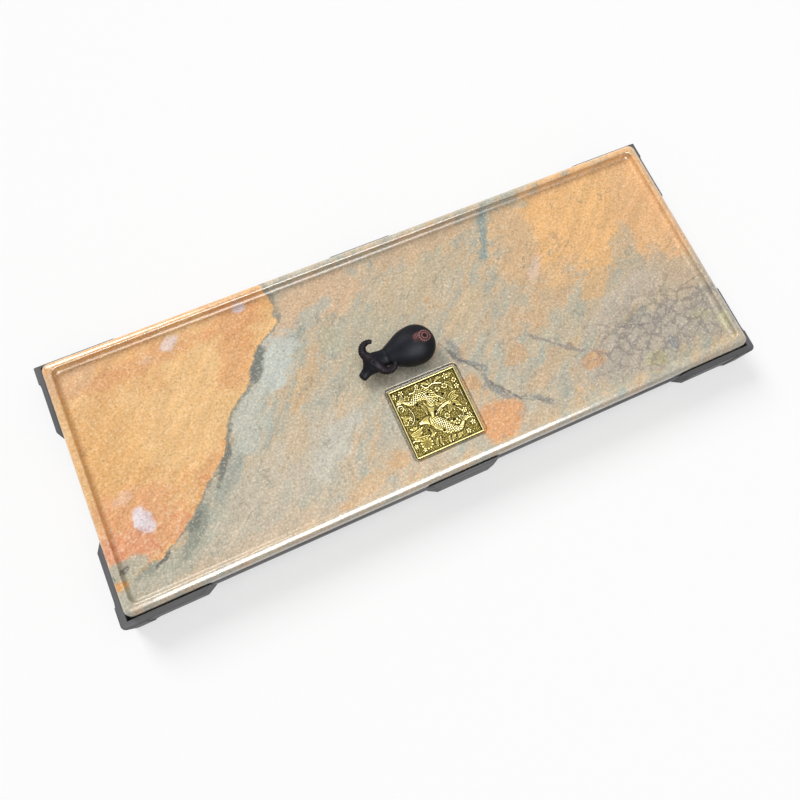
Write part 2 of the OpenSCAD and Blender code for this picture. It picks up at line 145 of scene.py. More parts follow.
def mesh_object(name: str, points: Array, faces: Sequence[Array], sharp: float = 60) -> bpy.types.Object:
    """Makes an object from points and faces, with its place in its mesh.

    Args:
        name: The piece's name.
        points: One row of x, y and z in millimetres for each vertex.
        faces: Arrays of vertex numbers, one array for each number of corners.
        sharp: Edges that turn more than this many degrees stay sharp.

    Returns:
        The object, linked to the scene.
    """
    mesh = bpy.data.meshes.new(name)
    corners = np.concatenate([f.ravel() for f in faces]).astype(np.int32)
    sizes = np.concatenate([np.full(len(f), f.shape[1]) for f in faces])
    starts = np.concatenate(([0], np.cumsum(sizes)[:-1])).astype(np.int32)
    mesh.vertices.add(len(points))
    mesh.vertices.foreach_set("co", (points * MM).astype(np.float32).ravel())
    mesh.loops.add(len(corners))
    mesh.loops.foreach_set("vertex_index", corners)
    mesh.polygons.add(len(sizes))
    mesh.polygons.foreach_set("loop_start", starts)
    mesh.polygons.foreach_set("use_smooth", np.ones(len(sizes), bool))
    mesh.update(calc_edges=True)
    mesh.validate()
    mesh.set_sharp_from_angle(angle=math.radians(sharp))
    made = bpy.data.objects.new(name, mesh)
    bpy.context.collection.objects.link(made)
    return made


def paint(piece: bpy.types.Object, name: str, values: Array) -> None:
    """Stores one number for each vertex of a piece as an attribute.

    Args:
        piece: The piece.
        name: The attribute's name.
        values: The numbers, in the order of the vertices.
    """
    layer = piece.data.attributes.new(name, "FLOAT", "POINT")
    layer.data.foreach_set("value", values.astype(np.float32).ravel())


def dress(nodes: Sequence[str], material: bpy.types.Material) -> None:
    """Puts a material into the slots of CAD nodes.

    Args:
        nodes: Names of the nodes.
        material: The material they all get.
    """
    for name in nodes:
        piece = bpy.data.objects[name]
        if not piece.material_slots:
            piece.data.materials.append(material)
        for slot in piece.material_slots:
            slot.link = "OBJECT"
            slot.material = material


def ring_faces(rings: int, around: int, closed: bool = False, first: int = 0) -> Array:
    """Joins rings of vertices with quads.

    Args:
        rings: Number of rings, each anticlockwise seen against the way that the rings go.
        around: Vertices in each ring.
        closed: Whether the last ring joins the first.
        first: Number of the first vertex.

    Returns:
        Four vertex numbers for each quad.
    """
    k, i = np.meshgrid(np.arange(rings if closed else rings - 1), np.arange(around), indexing="ij")
    j, nxt = (i + 1) % around, (k + 1) % rings
    quads = np.stack([k * around + i, k * around + j, nxt * around + j, nxt * around + i], -1)
    return first + quads.reshape(-1, 4)


def smooth_path(points: Sequence[Point], count: int = 32) -> Array:
    """Draws a smooth curve through points: a cubic between each two, with slopes from their neighbours.

    Args:
        points: The points, of two or three coordinates or of any other numbers.
        count: Number of points on the curve.

    Returns:
        The curve's points.
    """
    p = np.asarray(points, float)
    padded = np.vstack([2 * p[0] - p[1], p, 2 * p[-1] - p[-2]])
    t = np.linspace(0, len(p) - 1, count)
    k = np.minimum(t.astype(int), len(p) - 2)
    f = (t - k)[:, None]
    a, b, c, d = (padded[k + n] for n in range(4))
    return 0.5 * (2 * b + (c - a) * f + (2 * a - 5 * b + 4 * c - d) * f**2 + (3 * b - a - 3 * c + d) * f**3)


# ---------------------------------------------------------------------------------------------------
# The stone slab
# ---------------------------------------------------------------------------------------------------


@dataclass(frozen=True)
class StoneSpace:
    """Sockets that all layers of the stone's colour share."""

    tree: bpy.types.NodeTree
    where: Socket
    warped: Socket
    ragged: Socket

    def math(self, operation: str, *values: Value) -> Socket:
        """Adds a Math node on the given values."""
        return add_node(
            self.tree, "ShaderNodeMath", dict(enumerate(values)), operation=operation
        ).outputs[0]

    def fade(self, value: Socket, none: float, full: float, strength: float = 1) -> Socket:
        """A smooth mask: 0 where the value is `none`, and the strength where it is `full`."""
        ends = {"Value": value, 1: none, 2: full, 3: 0.0, 4: strength}
        return add_node(
            self.tree, "ShaderNodeMapRange", ends, interpolation_type="SMOOTHSTEP"
        ).outputs[0]

    def mix(self, mask: Socket, under: Socket, over: Value) -> Socket:
        """Lays one colour over another where the mask is 1."""
        over = linear(over) if isinstance(over, str) else over
        colours = {0: mask, 6: under, 7: over}
        return add_node(self.tree, "ShaderNodeMix", colours, data_type="RGBA").outputs[2]

    def noise(self, where: Socket, size: float, detail: float = 5, roughness: float = 0.6) -> Socket:
        """A noise whose largest waves have the given size in millimetres."""
        inputs = {"Vector": where, "Scale": 1 / size, "Detail": detail, "Roughness": roughness}
        return add_node(self.tree, "ShaderNodeTexNoise", inputs).outputs[0]

    def turned(self, where: Socket, at: Point, turn: float, size: Point) -> Socket:
        """Coordinates from a place, along a direction in degrees from x, in units of two sizes."""
        inputs = {
            "Vector": where,
            "Location": (*at, BASIN_Z),
            "Rotation": (0, 0, math.radians(turn)),
            "Scale": (*size, 60),
        }
        return add_node(self.tree, "ShaderNodeMapping", inputs, vector_type="TEXTURE").outputs[0]


@dataclass(frozen=True)
class Patch:
    """An oval of another colour in the stone, with a ragged edge."""

    at: Point
    size: Point
    turn: float
    colour: str
    strength: float = 0.7
    ragged: float = 1.7

    def lay(self, space: StoneSpace, under: Socket) -> Socket:
        """Lays the patch over a colour: full in the oval's middle, gone at its edge.

        Args:
            space: The stone's shared sockets.
            under: The colour so far.

        Returns:
            The colour with the patch on it.
        """
        oval = space.turned(space.warped, self.at, self.turn, self.size)
        far = add_node(space.tree, "ShaderNodeVectorMath", {0: oval}, operation="LENGTH")
        edge = space.math("MULTIPLY_ADD", space.ragged, self.ragged, far.outputs["Value"])
        reach = self.ragged / 2
        return space.mix(space.fade(edge, 1.15 + reach, 0.7 + reach, self.strength), under, self.colour)


@dataclass(frozen=True)
class Vein:
    """A line in the stone, given by its x at each y, and broken up by the ragged noise."""

    points: tuple[Point, ...]
    width: float
    colour: str
    strength: float = 0.8
    ragged: float = 30
    open_ended: bool = False

    def offset(self, space: StoneSpace) -> tuple[Socket, Socket]:
        """How far to the right of the line a place is, in millimetres, and the place's y.

        Args:
            space: The stone's shared sockets.

        Returns:
            The distance along x, and y.
        """
        parts = add_node(space.tree, "ShaderNodeSeparateXYZ", {0: space.warped})
        share = add_node(space.tree, "ShaderNodeMapRange", {"Value": parts.outputs["Y"], 1: -120, 2: 120})
        line = [((y + 120) / 240, (x + 320) / 640) for x, y in sorted(self.points, key=lambda p: p[1])]
        ends = [(0.0, line[0][1]), *line, (1.0, line[-1][1])]
        curve = add_node(space.tree, "ShaderNodeFloatCurve", {"Value": share.outputs[0]}, points=ends)
        at = space.math("MULTIPLY_ADD", curve.outputs[0], 640, -320)
        return space.math("SUBTRACT", parts.outputs["X"], at), parts.outputs["Y"]

    def lay(self, space: StoneSpace, under: Socket) -> Socket:
        """Lays the vein over a colour.

        Args:
            space: The stone's shared sockets.
            under: The colour so far.

        Returns:
            The colour with the vein on it.
        """
        offset, y = self.offset(space)
        far = space.math("ABSOLUTE", offset)
        edge = space.math("MULTIPLY_ADD", space.ragged, self.ragged, far)
        reach = self.ragged / 2
        mask = space.fade(edge, self.width + reach, self.width * 0.2 + reach, self.strength)
        if not self.open_ended:
            low, high = min(p[1] for p in self.points), max(p[1] for p in self.points)
            away = space.math("ABSOLUTE", space.math("SUBTRACT", y, (low + high) / 2))
            half = (high - low) / 2
            mask = space.math("MULTIPLY", mask, space.fade(away, half + 6, half - 6))
        return space.mix(mask, under, self.colour)


@dataclass(frozen=True)
class PolishedStone:
    """Metamorphic stone, sawn, carved, satin polished and waxed: an orange part and a grey-green one
    meet at a dark seam, with streaks, veins and a sandy grain, under a coat that shows long highlights."""

    name: str = "polished_natural_stone"
    seam: tuple[Point, ...] = (
        (-315, -92), (-285, -88), (-262, -84), (-247, -74), (-233, -68), (-220, -58), (-207, -45),
        (-195, -35), (-185, -25), (-177, -15), (-172, -3), (-163, 8), (-153, 18), (-143, 30),
        (-133, 42), (-128, 47), (-122, 58), (-110, 65), (-97, 72), (-95, 88), (-93, 103),
    )  # fmt: skip
    left_patches: tuple[Patch, ...] = (
        Patch((-190, 25), (75, 50), 20, "#efbf7c", 0.75, 2.2),
        Patch((-272, 15), (34, 60), -5, "#e8b168", 0.7, 2.2),
        Patch((-268, -48), (40, 34), 10, "#e7a469", 0.85, 2.4),
        Patch((-278, -62), (26, 16), 5, "#e2996a", 0.8, 2.6),
        Patch((-240, -62), (14, 12), 5, "#e5a066", 0.7, 2.6),
        Patch((-196, -38), (14, 30), -35, "#dc9854", 0.6, 2.4),
        Patch((-225, 84), (75, 10), 2, "#dc9657", 0.6, 2.4),
        Patch((-140, 60), (14, 40), -35, "#db9453", 0.6, 2.4),
        Patch((-130, 92), (30, 18), 10, "#dc9657", 0.65, 2.2),
        Patch((-280, 92), (24, 14), 10, "#d9a878", 0.7, 2.2),
        Patch((-262, -45), (8, 13), 12, "#ece3ea", 1.0, 1.3),
        Patch((-190, 92), (12, 7), 20, "#e2c9be", 0.9, 1.6),
        Patch((-124, 101), (6, 5), 0, "#e3cfd0", 0.9, 1.6),
        Patch((-214, 84), (7, 5), 0, "#dcae86", 0.7, 1.6),
        Patch((-272, -22), (10, 6), 20, "#e6bb9c", 0.6, 2.4),
    )
    shared_patches: tuple[Patch, ...] = (
        Patch((-292, -80), (26, 11), 8, "#aaab98", 0.9, 1.6),
        Patch((-250, -86), (30, 8), 6, "#a3a390", 0.8, 1.8),
        Patch((-272, -86), (12, 5), 20, "#848a7d", 0.7, 2.0),
        Patch((-296, -87), (9, 5), 0, "#dd9a45", 1.0, 1.4),
        Patch((-297, -80), (3.2, 2.2), 0, "#4b4a40", 0.9, 1.2),
        Patch((-287, -77), (3.4, 2), 25, "#4d4c43", 0.8, 1.4),
        Patch((-258, -82), (9, 2.2), 32, "#454a44", 0.9, 1.6),
        Patch((-223, -70), (26, 8), 48, "#848b7d", 0.9, 2.0),
        Patch((-224, -66), (10, 4), 48, "#5d655c", 0.8, 2.0),
        Patch((-183, -24), (4, 26), -30, "#59615b", 0.85, 2.2),
        Patch((-128, 45), (6, 20), -35, "#5c655f", 0.95, 1.8),
    )
    right_patches: tuple[Patch, ...] = (
        Patch((-112, 48), (20, 42), -30, "#bfc5bd", 0.95, 2.0),
        Patch((-150, 0), (14, 40), -38, "#b9bdb1", 0.8, 2.2),
        Patch((-186, -45), (10, 26), -35, "#9ba195", 0.8, 2.4),
        Patch((-205, -74), (40, 9), 32, "#a0a493", 0.8, 2.2),
        Patch((-262, -97), (50, 9), 3, "#aaa796", 0.7, 2.2),
        Patch((-150, -60), (90, 26), 30, "#c3b6a0", 0.7, 2.2),
        Patch((-90, -50), (40, 14), 35, "#c2bfb2", 0.75, 2.4),
        Patch((-150, -102), (120, 10), 1, "#c2ad92", 0.7, 2.2),
        Patch((-95, 10), (24, 10), 52, "#cfaa79", 0.7, 2.6),
        Patch((-122, -35), (24, 10), 45, "#c8ad85", 0.6, 2.6),
        Patch((-60, 82), (60, 24), 10, "#d4b08a", 0.85, 2.2),
        Patch((-68, 68), (22, 9), 25, "#abb1a6", 0.7, 2.4),
        Patch((-57, 42), (14, 14), 30, "#b3af95", 0.6, 2.4),
        Patch((-30, 20), (50, 26), 55, "#b8b096", 0.7, 2.2),
        Patch((-20, -30), (46, 18), 60, "#b0ac98", 0.7, 2.2),
        Patch((30, 60), (50, 22), 15, "#c6b18f", 0.7, 2.2),
        Patch((60, 96), (60, 12), 5, "#d2ae86", 0.7, 2.2),
        Patch((-78, -92), (36, 8), 15, "#cfa56f", 0.65, 2.6),
        Patch((-46, -84), (12, 7), 25, "#d3a46b", 0.7, 2.2),
        Patch((68, 18), (34, 16), 30, "#cdb38c", 0.7, 2.2),
        Patch((230, 66), (120, 58), 8, "#eeb877", 1.0, 1.8),
        Patch((278, 30), (40, 70), 0, "#e6b37c", 0.9, 1.8),
        Patch((140, 55), (22, 50), -15, "#cfae86", 0.8, 2.2),
        Patch((150, 5), (50, 16), 35, "#d2ab7d", 0.65, 2.4),
        Patch((200, 2), (34, 12), 40, "#e0b075", 0.7, 2.4),
        Patch((238, 20), (12, 26), -25, "#b7ab92", 0.6, 2.4),
        Patch((150, 32), (14, 6), 45, "#dcbfa9", 0.7, 2.2),
        Patch((105, -10), (26, 14), 20, "#cfac84", 0.6, 2.4),
        Patch((262, -25), (46, 30), -5, "#bbaa92", 0.8, 2.2),
        Patch((225, -74), (100, 26), 5, "#aea497", 0.8, 2.0),
        Patch((210, -30), (50, 16), 20, "#c4b4a2", 0.7, 2.2),
        Patch((110, -62), (34, 8), 35, "#c5a27a", 0.6, 2.4),
        Patch((53, -87), (24, 19), 10, "#d9985a", 1.0, 1.8),
        Patch((158, -72), (14, 9), 10, "#cf9c66", 0.75, 2.4),
        Patch((92, -42), (15, 8), 20, "#c99f70", 0.7, 2.4),
        Patch((44, -45), (8, 9), 0, "#cc9c67", 0.8, 2.0),
        Patch((212, -92), (13, 7), 0, "#b1a97c", 0.7, 2.0),
        Patch((272, -72), (12, 7), 0, "#a8a283", 0.7, 2.0),
        Patch((291, -84), (5, 9), -20, "#bfbb98", 0.8, 1.8),
        Patch((236, -86), (4, 7), 0, "#7f868a", 0.7, 1.8),
    )
    veins: tuple[Vein, ...] = (
        Vein(((104, 56), (108, 66), (116, 85), (124, 108)), 6, "#7f9290", 0.9, 16),
        Vein(((38, -2), (43, -22), (60, -35), (56, -52), (67, -72), (90, -82), (103, -97)), 6,
             "#7b7d79", 0.85, 24),
        Vein(((30, -4), (50, -30), (62, -56), (78, -80), (100, -92)), 2.2, "#4e504e", 0.75, 16),
        Vein(((77, -25), (113, -28), (133, -42), (157, -62), (170, -75)), 5, "#7f7a76", 0.75, 30),
        Vein(((170, -48), (196, -55), (215, -52), (232, -66)), 3, "#736e70", 0.75, 20),
    )  # fmt: skip

    def warped(self, tree: bpy.types.NodeTree, where: Socket, size: float, reach: float) -> Socket:
        """Shifts coordinates by a noise, so that lines and patches get natural edges.

        Args:
            tree: The stone's node tree.
            where: Coordinates in millimetres.
            size: Size of the noise's waves in millimetres.
            reach: Furthest shift in millimetres.

        Returns:
            The shifted coordinates.
        """
        noise = add_node(tree, "ShaderNodeTexNoise", {"Vector": where, "Scale": 1 / size, "Detail": 5})
        centred = add_node(
            tree, "ShaderNodeVectorMath", {0: noise.outputs[1], 1: (0.5,) * 3}, operation="SUBTRACT"
        )
        shift = {0: centred.outputs[0], 1: (2 * reach,) * 3, 2: where}
        return add_node(tree, "ShaderNodeVectorMath", shift, operation="MULTIPLY_ADD").outputs[0]

    def ramp(self, space: StoneSpace, value: Socket, *stops: tuple[float, str]) -> Socket:
        """Colours for a value."""
        return add_node(space.tree, "ShaderNodeValToRGB", {"Fac": value}, stops=stops).outputs[0]

    def left_colour(self, space: StoneSpace) -> Socket:
        """Colour of the orange part: sandy orange clouds, redder at the edges.

        Args:
            space: The stone's shared sockets.

        Returns:
            The colour.
        """
        cloud = space.noise(space.warped, 22, 8, 0.65)
        colour = self.ramp(space, cloud, (0.32, "#d9954f"), (0.5, "#e6ae68"), (0.68, "#efc182"))
        for patch in self.left_patches:
            colour = patch.lay(space, colour)
        # pebbly mottling of about 5 mm, stronger towards the lower left
        pebbles = space.noise(space.warped, 5, 4, 0.6)
        parts = add_node(space.tree, "ShaderNodeSeparateXYZ", {0: space.warped})
        low = space.fade(parts.outputs["Y"], 0, -70)
        redder = space.math("MULTIPLY", space.fade(pebbles, 0.52, 0.38, 0.5), low)
        colour = space.mix(redder, colour, "#d4784a")
        paler = space.math("MULTIPLY", space.fade(pebbles, 0.54, 0.66, 0.5), low)
        return space.mix(paler, colour, "#f3cfae")

    def right_colour(self, space: StoneSpace) -> Socket:
        """Colour of the grey part: streaks of sand, grey-green and tan under patches and veins.

        Args:
            space: The stone's shared sockets.

        Returns:
            The colour.
        """
        streak = space.noise(space.turned(space.warped, (0, 0), 50, (40, 12)), 1, 8, 0.68)
        colour = self.ramp(
            space, streak, (0.34, "#9fa79a"), (0.46, "#b5ad98"), (0.56, "#c5b090"), (0.68, "#cfa87a")
        )
        for layer in (*self.right_patches, *self.veins):
            colour = layer.lay(space, colour)
        return self.network(space, self.veinlets(space, colour))

    def veinlets(self, space: StoneSpace, under: Socket) -> Socket:
        """Lays thin grey veins, where a drawn-out noise passes its middle, broken up by another noise.

        Args:
            space: The stone's shared sockets.
            under: The colour so far.

        Returns:
            The colour with the veins on it.
        """
        field = space.noise(space.turned(space.warped, (9, 5), 50, (70, 26)), 1, 4, 0.55)
        far = space.math("ABSOLUTE", space.math("SUBTRACT", field, 0.5))
        line = space.fade(far, 0.024, 0.002, 0.42)
        where_seen = space.fade(space.ragged, 0.48, 0.58)
        return space.mix(space.math("MULTIPLY", line, where_seen), under, "#75776c")

    def network(self, space: StoneSpace, under: Socket) -> Socket:
        """Lays the thin dark net with pebble-like cells of 14 mm over the lower right.

        Args:
            space: The stone's shared sockets.
            under: The colour so far.

        Returns:
            The colour with the net on it.
        """
        bent = self.warped(space.tree, space.where, 14, 9)
        cells = add_node(
            space.tree,
            "ShaderNodeTexVoronoi",
            {"Vector": space.turned(bent, (0, 0), 20, (17, 11)), "Scale": 1},
            feature="DISTANCE_TO_EDGE",
        )
        line = space.fade(cells.outputs[0], 0.16, 0.0)
        region = space.turned(bent, (232, -64), 5, (95, 40))
        far = add_node(space.tree, "ShaderNodeVectorMath", {0: region}, operation="LENGTH")
        edge = space.math("MULTIPLY_ADD", space.ragged, 2.4, far.outputs["Value"])
        mask = space.math("MULTIPLY", line, space.fade(edge, 2.3, 1.7, 0.5))
        return space.mix(mask, under, "#5e5b5e")

    def build(self) -> bpy.types.Material:
        """Builds the material.

        Returns:
            The material.
        """
        material, shader, where = new_material(self.name)
        tree = material.node_tree
        warped = self.warped(tree, self.warped(tree, where, 45, 9), 8, 3)
        rough_noise = {"Vector": where, "Scale": 1 / 17, "Detail": 9, "Roughness": 0.72}
        ragged = add_node(tree, "ShaderNodeTexNoise", rough_noise).outputs[0]
        space = StoneSpace(tree, where, warped, ragged)
        seam = Vein(self.seam, 3.4, "#727b72", 0.8, 18, open_ended=True)
        side = space.fade(seam.offset(space)[0], -1.6, 1.6)
        colour = space.mix(side, self.left_colour(space), self.right_colour(space))
        colour = seam.lay(space, colour)
        for patch in self.shared_patches:
            colour = patch.lay(space, colour)
        # sandy grain of about 2 mm: darker and lighter specks
        grain = space.noise(where, 2.0, 4, 0.8)
        colour = space.mix(space.fade(grain, 0.49, 0.32, 0.6), colour, "#8a7254")
        colour = space.mix(space.fade(grain, 0.51, 0.68, 0.6), colour, "#f8e6c6")
        broad = space.noise(space.turned(warped, (3, 4), 40, (50, 9)), 1, 6, 0.6)
        level = add_node(tree, "ShaderNodeMapRange", {"Value": broad, 1: 0.3, 2: 0.7, 3: 0.86, 4: 1.1})
        lit = add_node(
            tree, "ShaderNodeVectorMath", {0: colour, "Scale": level.outputs[0]}, operation="SCALE"
        )
        tree.links.new(lit.outputs[0], shader.inputs["Base Color"])
        rough = add_node(tree, "ShaderNodeMapRange", {"Value": grain, 1: 0.3, 2: 0.7, 3: 0.3, 4: 0.45})
        tree.links.new(rough.outputs[0], shader.inputs["Roughness"])
        bump = add_node(tree, "ShaderNodeBump", {"Height": grain, "Strength": 0.1, "Distance": 0.0001})
        tree.links.new(bump.outputs[0], shader.inputs["Normal"])
        # the rim is polished and waxed, the floor of the basin is only honed
        polish = add_node(tree, "ShaderNodeAttribute", {}, attribute_name="polish")
        tree.links.new(polish.outputs["Fac"], shader.inputs["Coat Weight"])
        for name, value in (("IOR", 1.5), ("Coat Roughness", 0.12)):
            shader.inputs[name].default_value = value
        return material


@dataclass
class StoneSlab:
    """The slab: a closed surface of matched loops that runs over the rim, through the basin, the cover's
    recess and the well, down the drain hole and back along the underside."""

    length: float = 600
    width: float = 230
    thickness: float = 20
    corner_r: float = 7
    rim_round: float = 6.5
    rim_w: float = 8.5
    rim_inner_round: float = 1.5
    basin_depth: float = 6.5
    basin_fillet: float = 4
    basin_corner_r: float = 6
    chamfer: float = 1.5
    recess_w: float = 71
    recess_r: float = 4.5
    recess_round: float = 1.2
    seat: float = -4.0
    well_d: float = 54
    well: float = -8.5
    hole_d: float = 21
    drain: Point = (1, -58)
    long_steps: int = 132
    short_steps: int = 52
    corner_steps: int = 9

    def loop(self, length: float, width: float, r: float, centre: Point = (0, 0)) -> Array:
        """Points around a rounded rectangle, as many for every size, anticlockwise from the front left.

        Args:
            length: Size along x.
            width: Size along y.
            r: Radius of the corners.
            centre: Middle of the rectangle.

        Returns:
            One row of x and y for each point.
        """
        turns = np.radians(np.linspace(0, 90, self.corner_steps, endpoint=False))
        sides = []
        for q in range(4):
            a, b = (length, width) if q % 2 == 0 else (width, length)
            steps = self.long_steps if q % 2 == 0 else self.short_steps
            share = np.linspace(0, 1, steps, endpoint=False)
            x = np.concatenate([(r - a / 2) + (a - 2 * r) * share, a / 2 - r + r * np.sin(turns)])
            y = np.concatenate([np.full(steps, -b / 2), r - b / 2 - r * np.cos(turns)])
            c, s = np.round(math.cos(q * math.pi / 2)), np.round(math.sin(q * math.pi / 2))
            sides.append(np.stack([c * x - s * y, s * x + c * y], -1))
        return np.concatenate(sides) + np.array(centre)

    def circle(self, d: float) -> Array:
        """Points around a circle at the drain, each in the direction of its point on the recess.

        Args:
            d: Diameter of the circle.

        Returns:
            One row of x and y for each point.
        """
        away = self.loop(self.recess_w, self.recess_w, self.recess_r)
        return np.array(self.drain) + d / 2 * away / np.linalg.norm(away, axis=1, keepdims=True)

    def arc(self, size: float, first: float, last: float, steps: int) -> list[tuple[float, float]]:
        """Insets and heights on an arc: size times the cosine and the sine of the angle.

        Args:
            size: Radius of the arc.
            first: First angle in degrees.
            last: Last angle in degrees.
            steps: Number of points.

        Returns:
            Pairs of an inset and a height.
        """
        a = np.radians(np.linspace(first, last, steps))
        return list(zip(size * np.cos(a), size * np.sin(a)))

    def rows(self) -> list[tuple[Array, float]]:
        """The loops in order, each with its height above the basin's floor.

        Returns:
            Pairs of a loop and a height.
        """
        top = self.basin_depth
        under = top - self.thickness

        def rim(inset: float, up: float) -> tuple[Array, float]:
            """A loop set in from the slab's outer edge."""
            r = max(self.corner_r - inset, 0.4)
            return self.loop(self.length - 2 * inset, self.width - 2 * inset, r), up

        def basin(inset: float, up: float) -> tuple[Array, float]:
            """A loop set in from the foot of the basin's wall."""
            a, b = self.length - 2 * self.rim_w - 2 * inset, self.width - 2 * self.rim_w - 2 * inset
            return self.loop(a, b, max(self.basin_corner_r - inset, 0.4)), up

        def recess(inset: float, up: float) -> tuple[Array, float]:
            """A loop set in from the recess's wall."""
            a = self.recess_w - 2 * inset
            return self.loop(a, a, max(self.recess_r - inset, 0.3), self.drain), up

        rr, ir, bf, cr = self.rim_round, self.rim_inner_round, self.basin_fillet, self.recess_round
        rows = [rim(self.chamfer, under), rim(self.chamfer * 0.5, under + self.chamfer * 0.5)]
        rows += [rim(0, under + self.chamfer), rim(0, under + self.chamfer + 1), rim(0, under + 7)]
        rows += [rim(rr - dx, top - rr + dz) for dx, dz in self.arc(rr, 0, 90, 11)]
        rows += [basin(-(ir - dx), top - ir + dz) for dx, dz in self.arc(ir, 90, 0, 6)]
        rows += [basin(bf - dx, bf + dz) for dx, dz in self.arc(bf, 0, -90, 8)]
        rows += [basin(bf + 0.6, 0), basin(bf + 2, 0), recess(-cr - 1.5, 0), recess(-cr - 0.4, 0)]
        rows += [recess(-(cr - dx), dz - cr) for dx, dz in self.arc(cr, 90, 0, 6)]
        rows += [recess(0, self.seat + 0.6), recess(0.2, self.seat + 0.2), recess(0.6, self.seat)]
        rows += [(self.circle(self.well_d + 2), self.seat), (self.circle(self.well_d + 0.4), self.seat)]
        rows += [(self.circle(self.well_d), self.seat - 0.3), (self.circle(self.well_d), self.well)]
        rows += [(self.circle(self.well_d - 1), self.well), (self.circle(self.hole_d + 1), self.well)]
        rows += [(self.circle(self.hole_d), self.well), (self.circle(self.hole_d), under)]
        rows += [(self.circle(self.hole_d + 1), under), rim(self.chamfer + 1, under)]
        return rows

    def points(self) -> Array:
        """All vertices, with the hand-polished surface's slow waves: up to 0.12 mm on the rim.

        Returns:
            One row of x, y and z for each vertex.
        """
        rows = self.rows()
        flat = np.stack([loop for loop, _ in rows])
        up = np.array([z for _, z in rows])[:, None] * np.ones(flat.shape[1])
        x, y = flat[..., 0], flat[..., 1]
        wave = np.sin(x / 17 + 1.3 * np.sin(y / 23)) * np.sin(y / 13 + 0.7) + 0.6 * np.sin(x / 5.1 + y / 6.3)
        near_rim = np.clip((up + 12) / 6, 0, 1) * np.clip(
            (np.maximum(np.abs(x) - (self.length / 2 - 12), np.abs(y) - (self.width / 2 - 12))) / 3, 0, 1
        )
        wave = 0.07 * wave * near_rim * np.where(up > 0.1, 1, 0)
        inward = np.stack([-np.sign(x) * (np.abs(x) > self.length / 2 - 12), 0 * y], -1)
        inward[..., 1] = -np.sign(y) * (np.abs(y) > self.width / 2 - 12)
        flat = flat + 0.5 * (np.abs(wave))[..., None] * inward
        return np.concatenate([flat, (up - np.abs(wave) + BASIN_Z)[..., None]], -1).reshape(-1, 3)

    def build(self) -> bpy.types.Object:
        """Builds and dresses the slab.

        Returns:
            The slab.
        """
        loops = len(self.rows())
        around = 2 * (self.long_steps + self.short_steps) + 4 * self.corner_steps
        points = self.points()
        slab = mesh_object("slab_of_stone", points, [ring_faces(loops, around, closed=True)], 50)
        inset = np.minimum(self.length / 2 - np.abs(points[:, 0]), self.width / 2 - np.abs(points[:, 1]))
        paint(slab, "polish", np.clip((self.rim_w + 1.5 - inset) / 1.5, 0.12, 1))
        slab.data.materials.append(PolishedStone().build())
        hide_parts("stone_slab")
        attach(slab, "slab")
        log.info("stone slab: %d loops of %d points", loops, around)
        return slab


# ---------------------------------------------------------------------------------------------------
# The drain cover
# ---------------------------------------------------------------------------------------------------


def along(path: Array, x: Array, y: Array) -> tuple[Array, Array]:
    """Finds where points lie beside a line.

    Args:
        path: The line's points.
        x: Places from left to right.
        y: Places from front to back.

    Returns:
        The share of the way along the line, and the distance to it, positive on its left.
    """
    a, d = path[:-1], np.diff(path, axis=0)
    steps = np.concatenate(([0], np.cumsum(np.linalg.norm(d, axis=1))))
    best, share, side = np.full(x.shape, np.inf), np.zeros(x.shape), np.zeros(x.shape)
    for k in range(len(d)):
        px, py = x - a[k, 0], y - a[k, 1]
        t = np.clip((px * d[k, 0] + py * d[k, 1]) / (d[k] @ d[k]), 0, 1)
        qx, qy = px - t * d[k, 0], py - t * d[k, 1]
        far = np.hypot(qx, qy)
        new = far < best
        best = np.where(new, far, best)
        share = np.where(new, (steps[k] + t * (steps[k + 1] - steps[k])) / steps[-1], share)
        side = np.where(new, np.sign(d[k, 0] * qy - d[k, 1] * qx), side)
    return share, best * np.where(side == 0, 1, side)


@dataclass(frozen=True)
class Ridge:
    """A rounded line of the relief, such as a stem or a tendril."""

    path: tuple[Point, ...]
    width: float = 0.9
    height: float = 0.8
    lines: int = 1

    def relief(self, x: Array, y: Array) -> Array:
        """Height: half an ellipse across the line, thinner towards its end, once for each line."""
        share, off = along(smooth_path(self.path), x, y)
        wide = self.width * (1 - 0.5 * share)
        spread = 1.9 * self.width * (np.arange(self.lines) - (self.lines - 1) / 2)
        near = np.min([np.abs(off - s) for s in spread], axis=0)
        return self.height * np.sqrt(np.clip(1 - (near / wide) ** 2, 0, 1))


@dataclass(frozen=True)
class Leaf:
    """A pointed leaf or petal with raised edges and a rib along its middle."""

    root: Point
    tip: Point
    width: float = 1.8
    height: float = 0.9
    bend: float = 0.12

    def relief(self, x: Array, y: Array) -> Array:
        """Height: highest at the edges and on the rib, over an almond whose width is a sine."""
        a, b = np.array(self.root), np.array(self.tip)
        middle = (a + b) / 2 + self.bend * np.array([-(b - a)[1], (b - a)[0]])
        share, off = along(smooth_path([tuple(a), tuple(middle), tuple(b)], 14), x, y)
        wide = self.width * np.sin(np.pi * np.clip(share, 0.03, 0.985)) ** 0.8
        v = np.abs(off) / wide
        shape = 0.35 + 0.75 * v**3 + 0.4 * np.exp(-((off / 0.35) ** 2))
        return np.where(v < 1, self.height * shape * np.clip(6 * (1 - v), 0, 1) ** 0.5, 0)


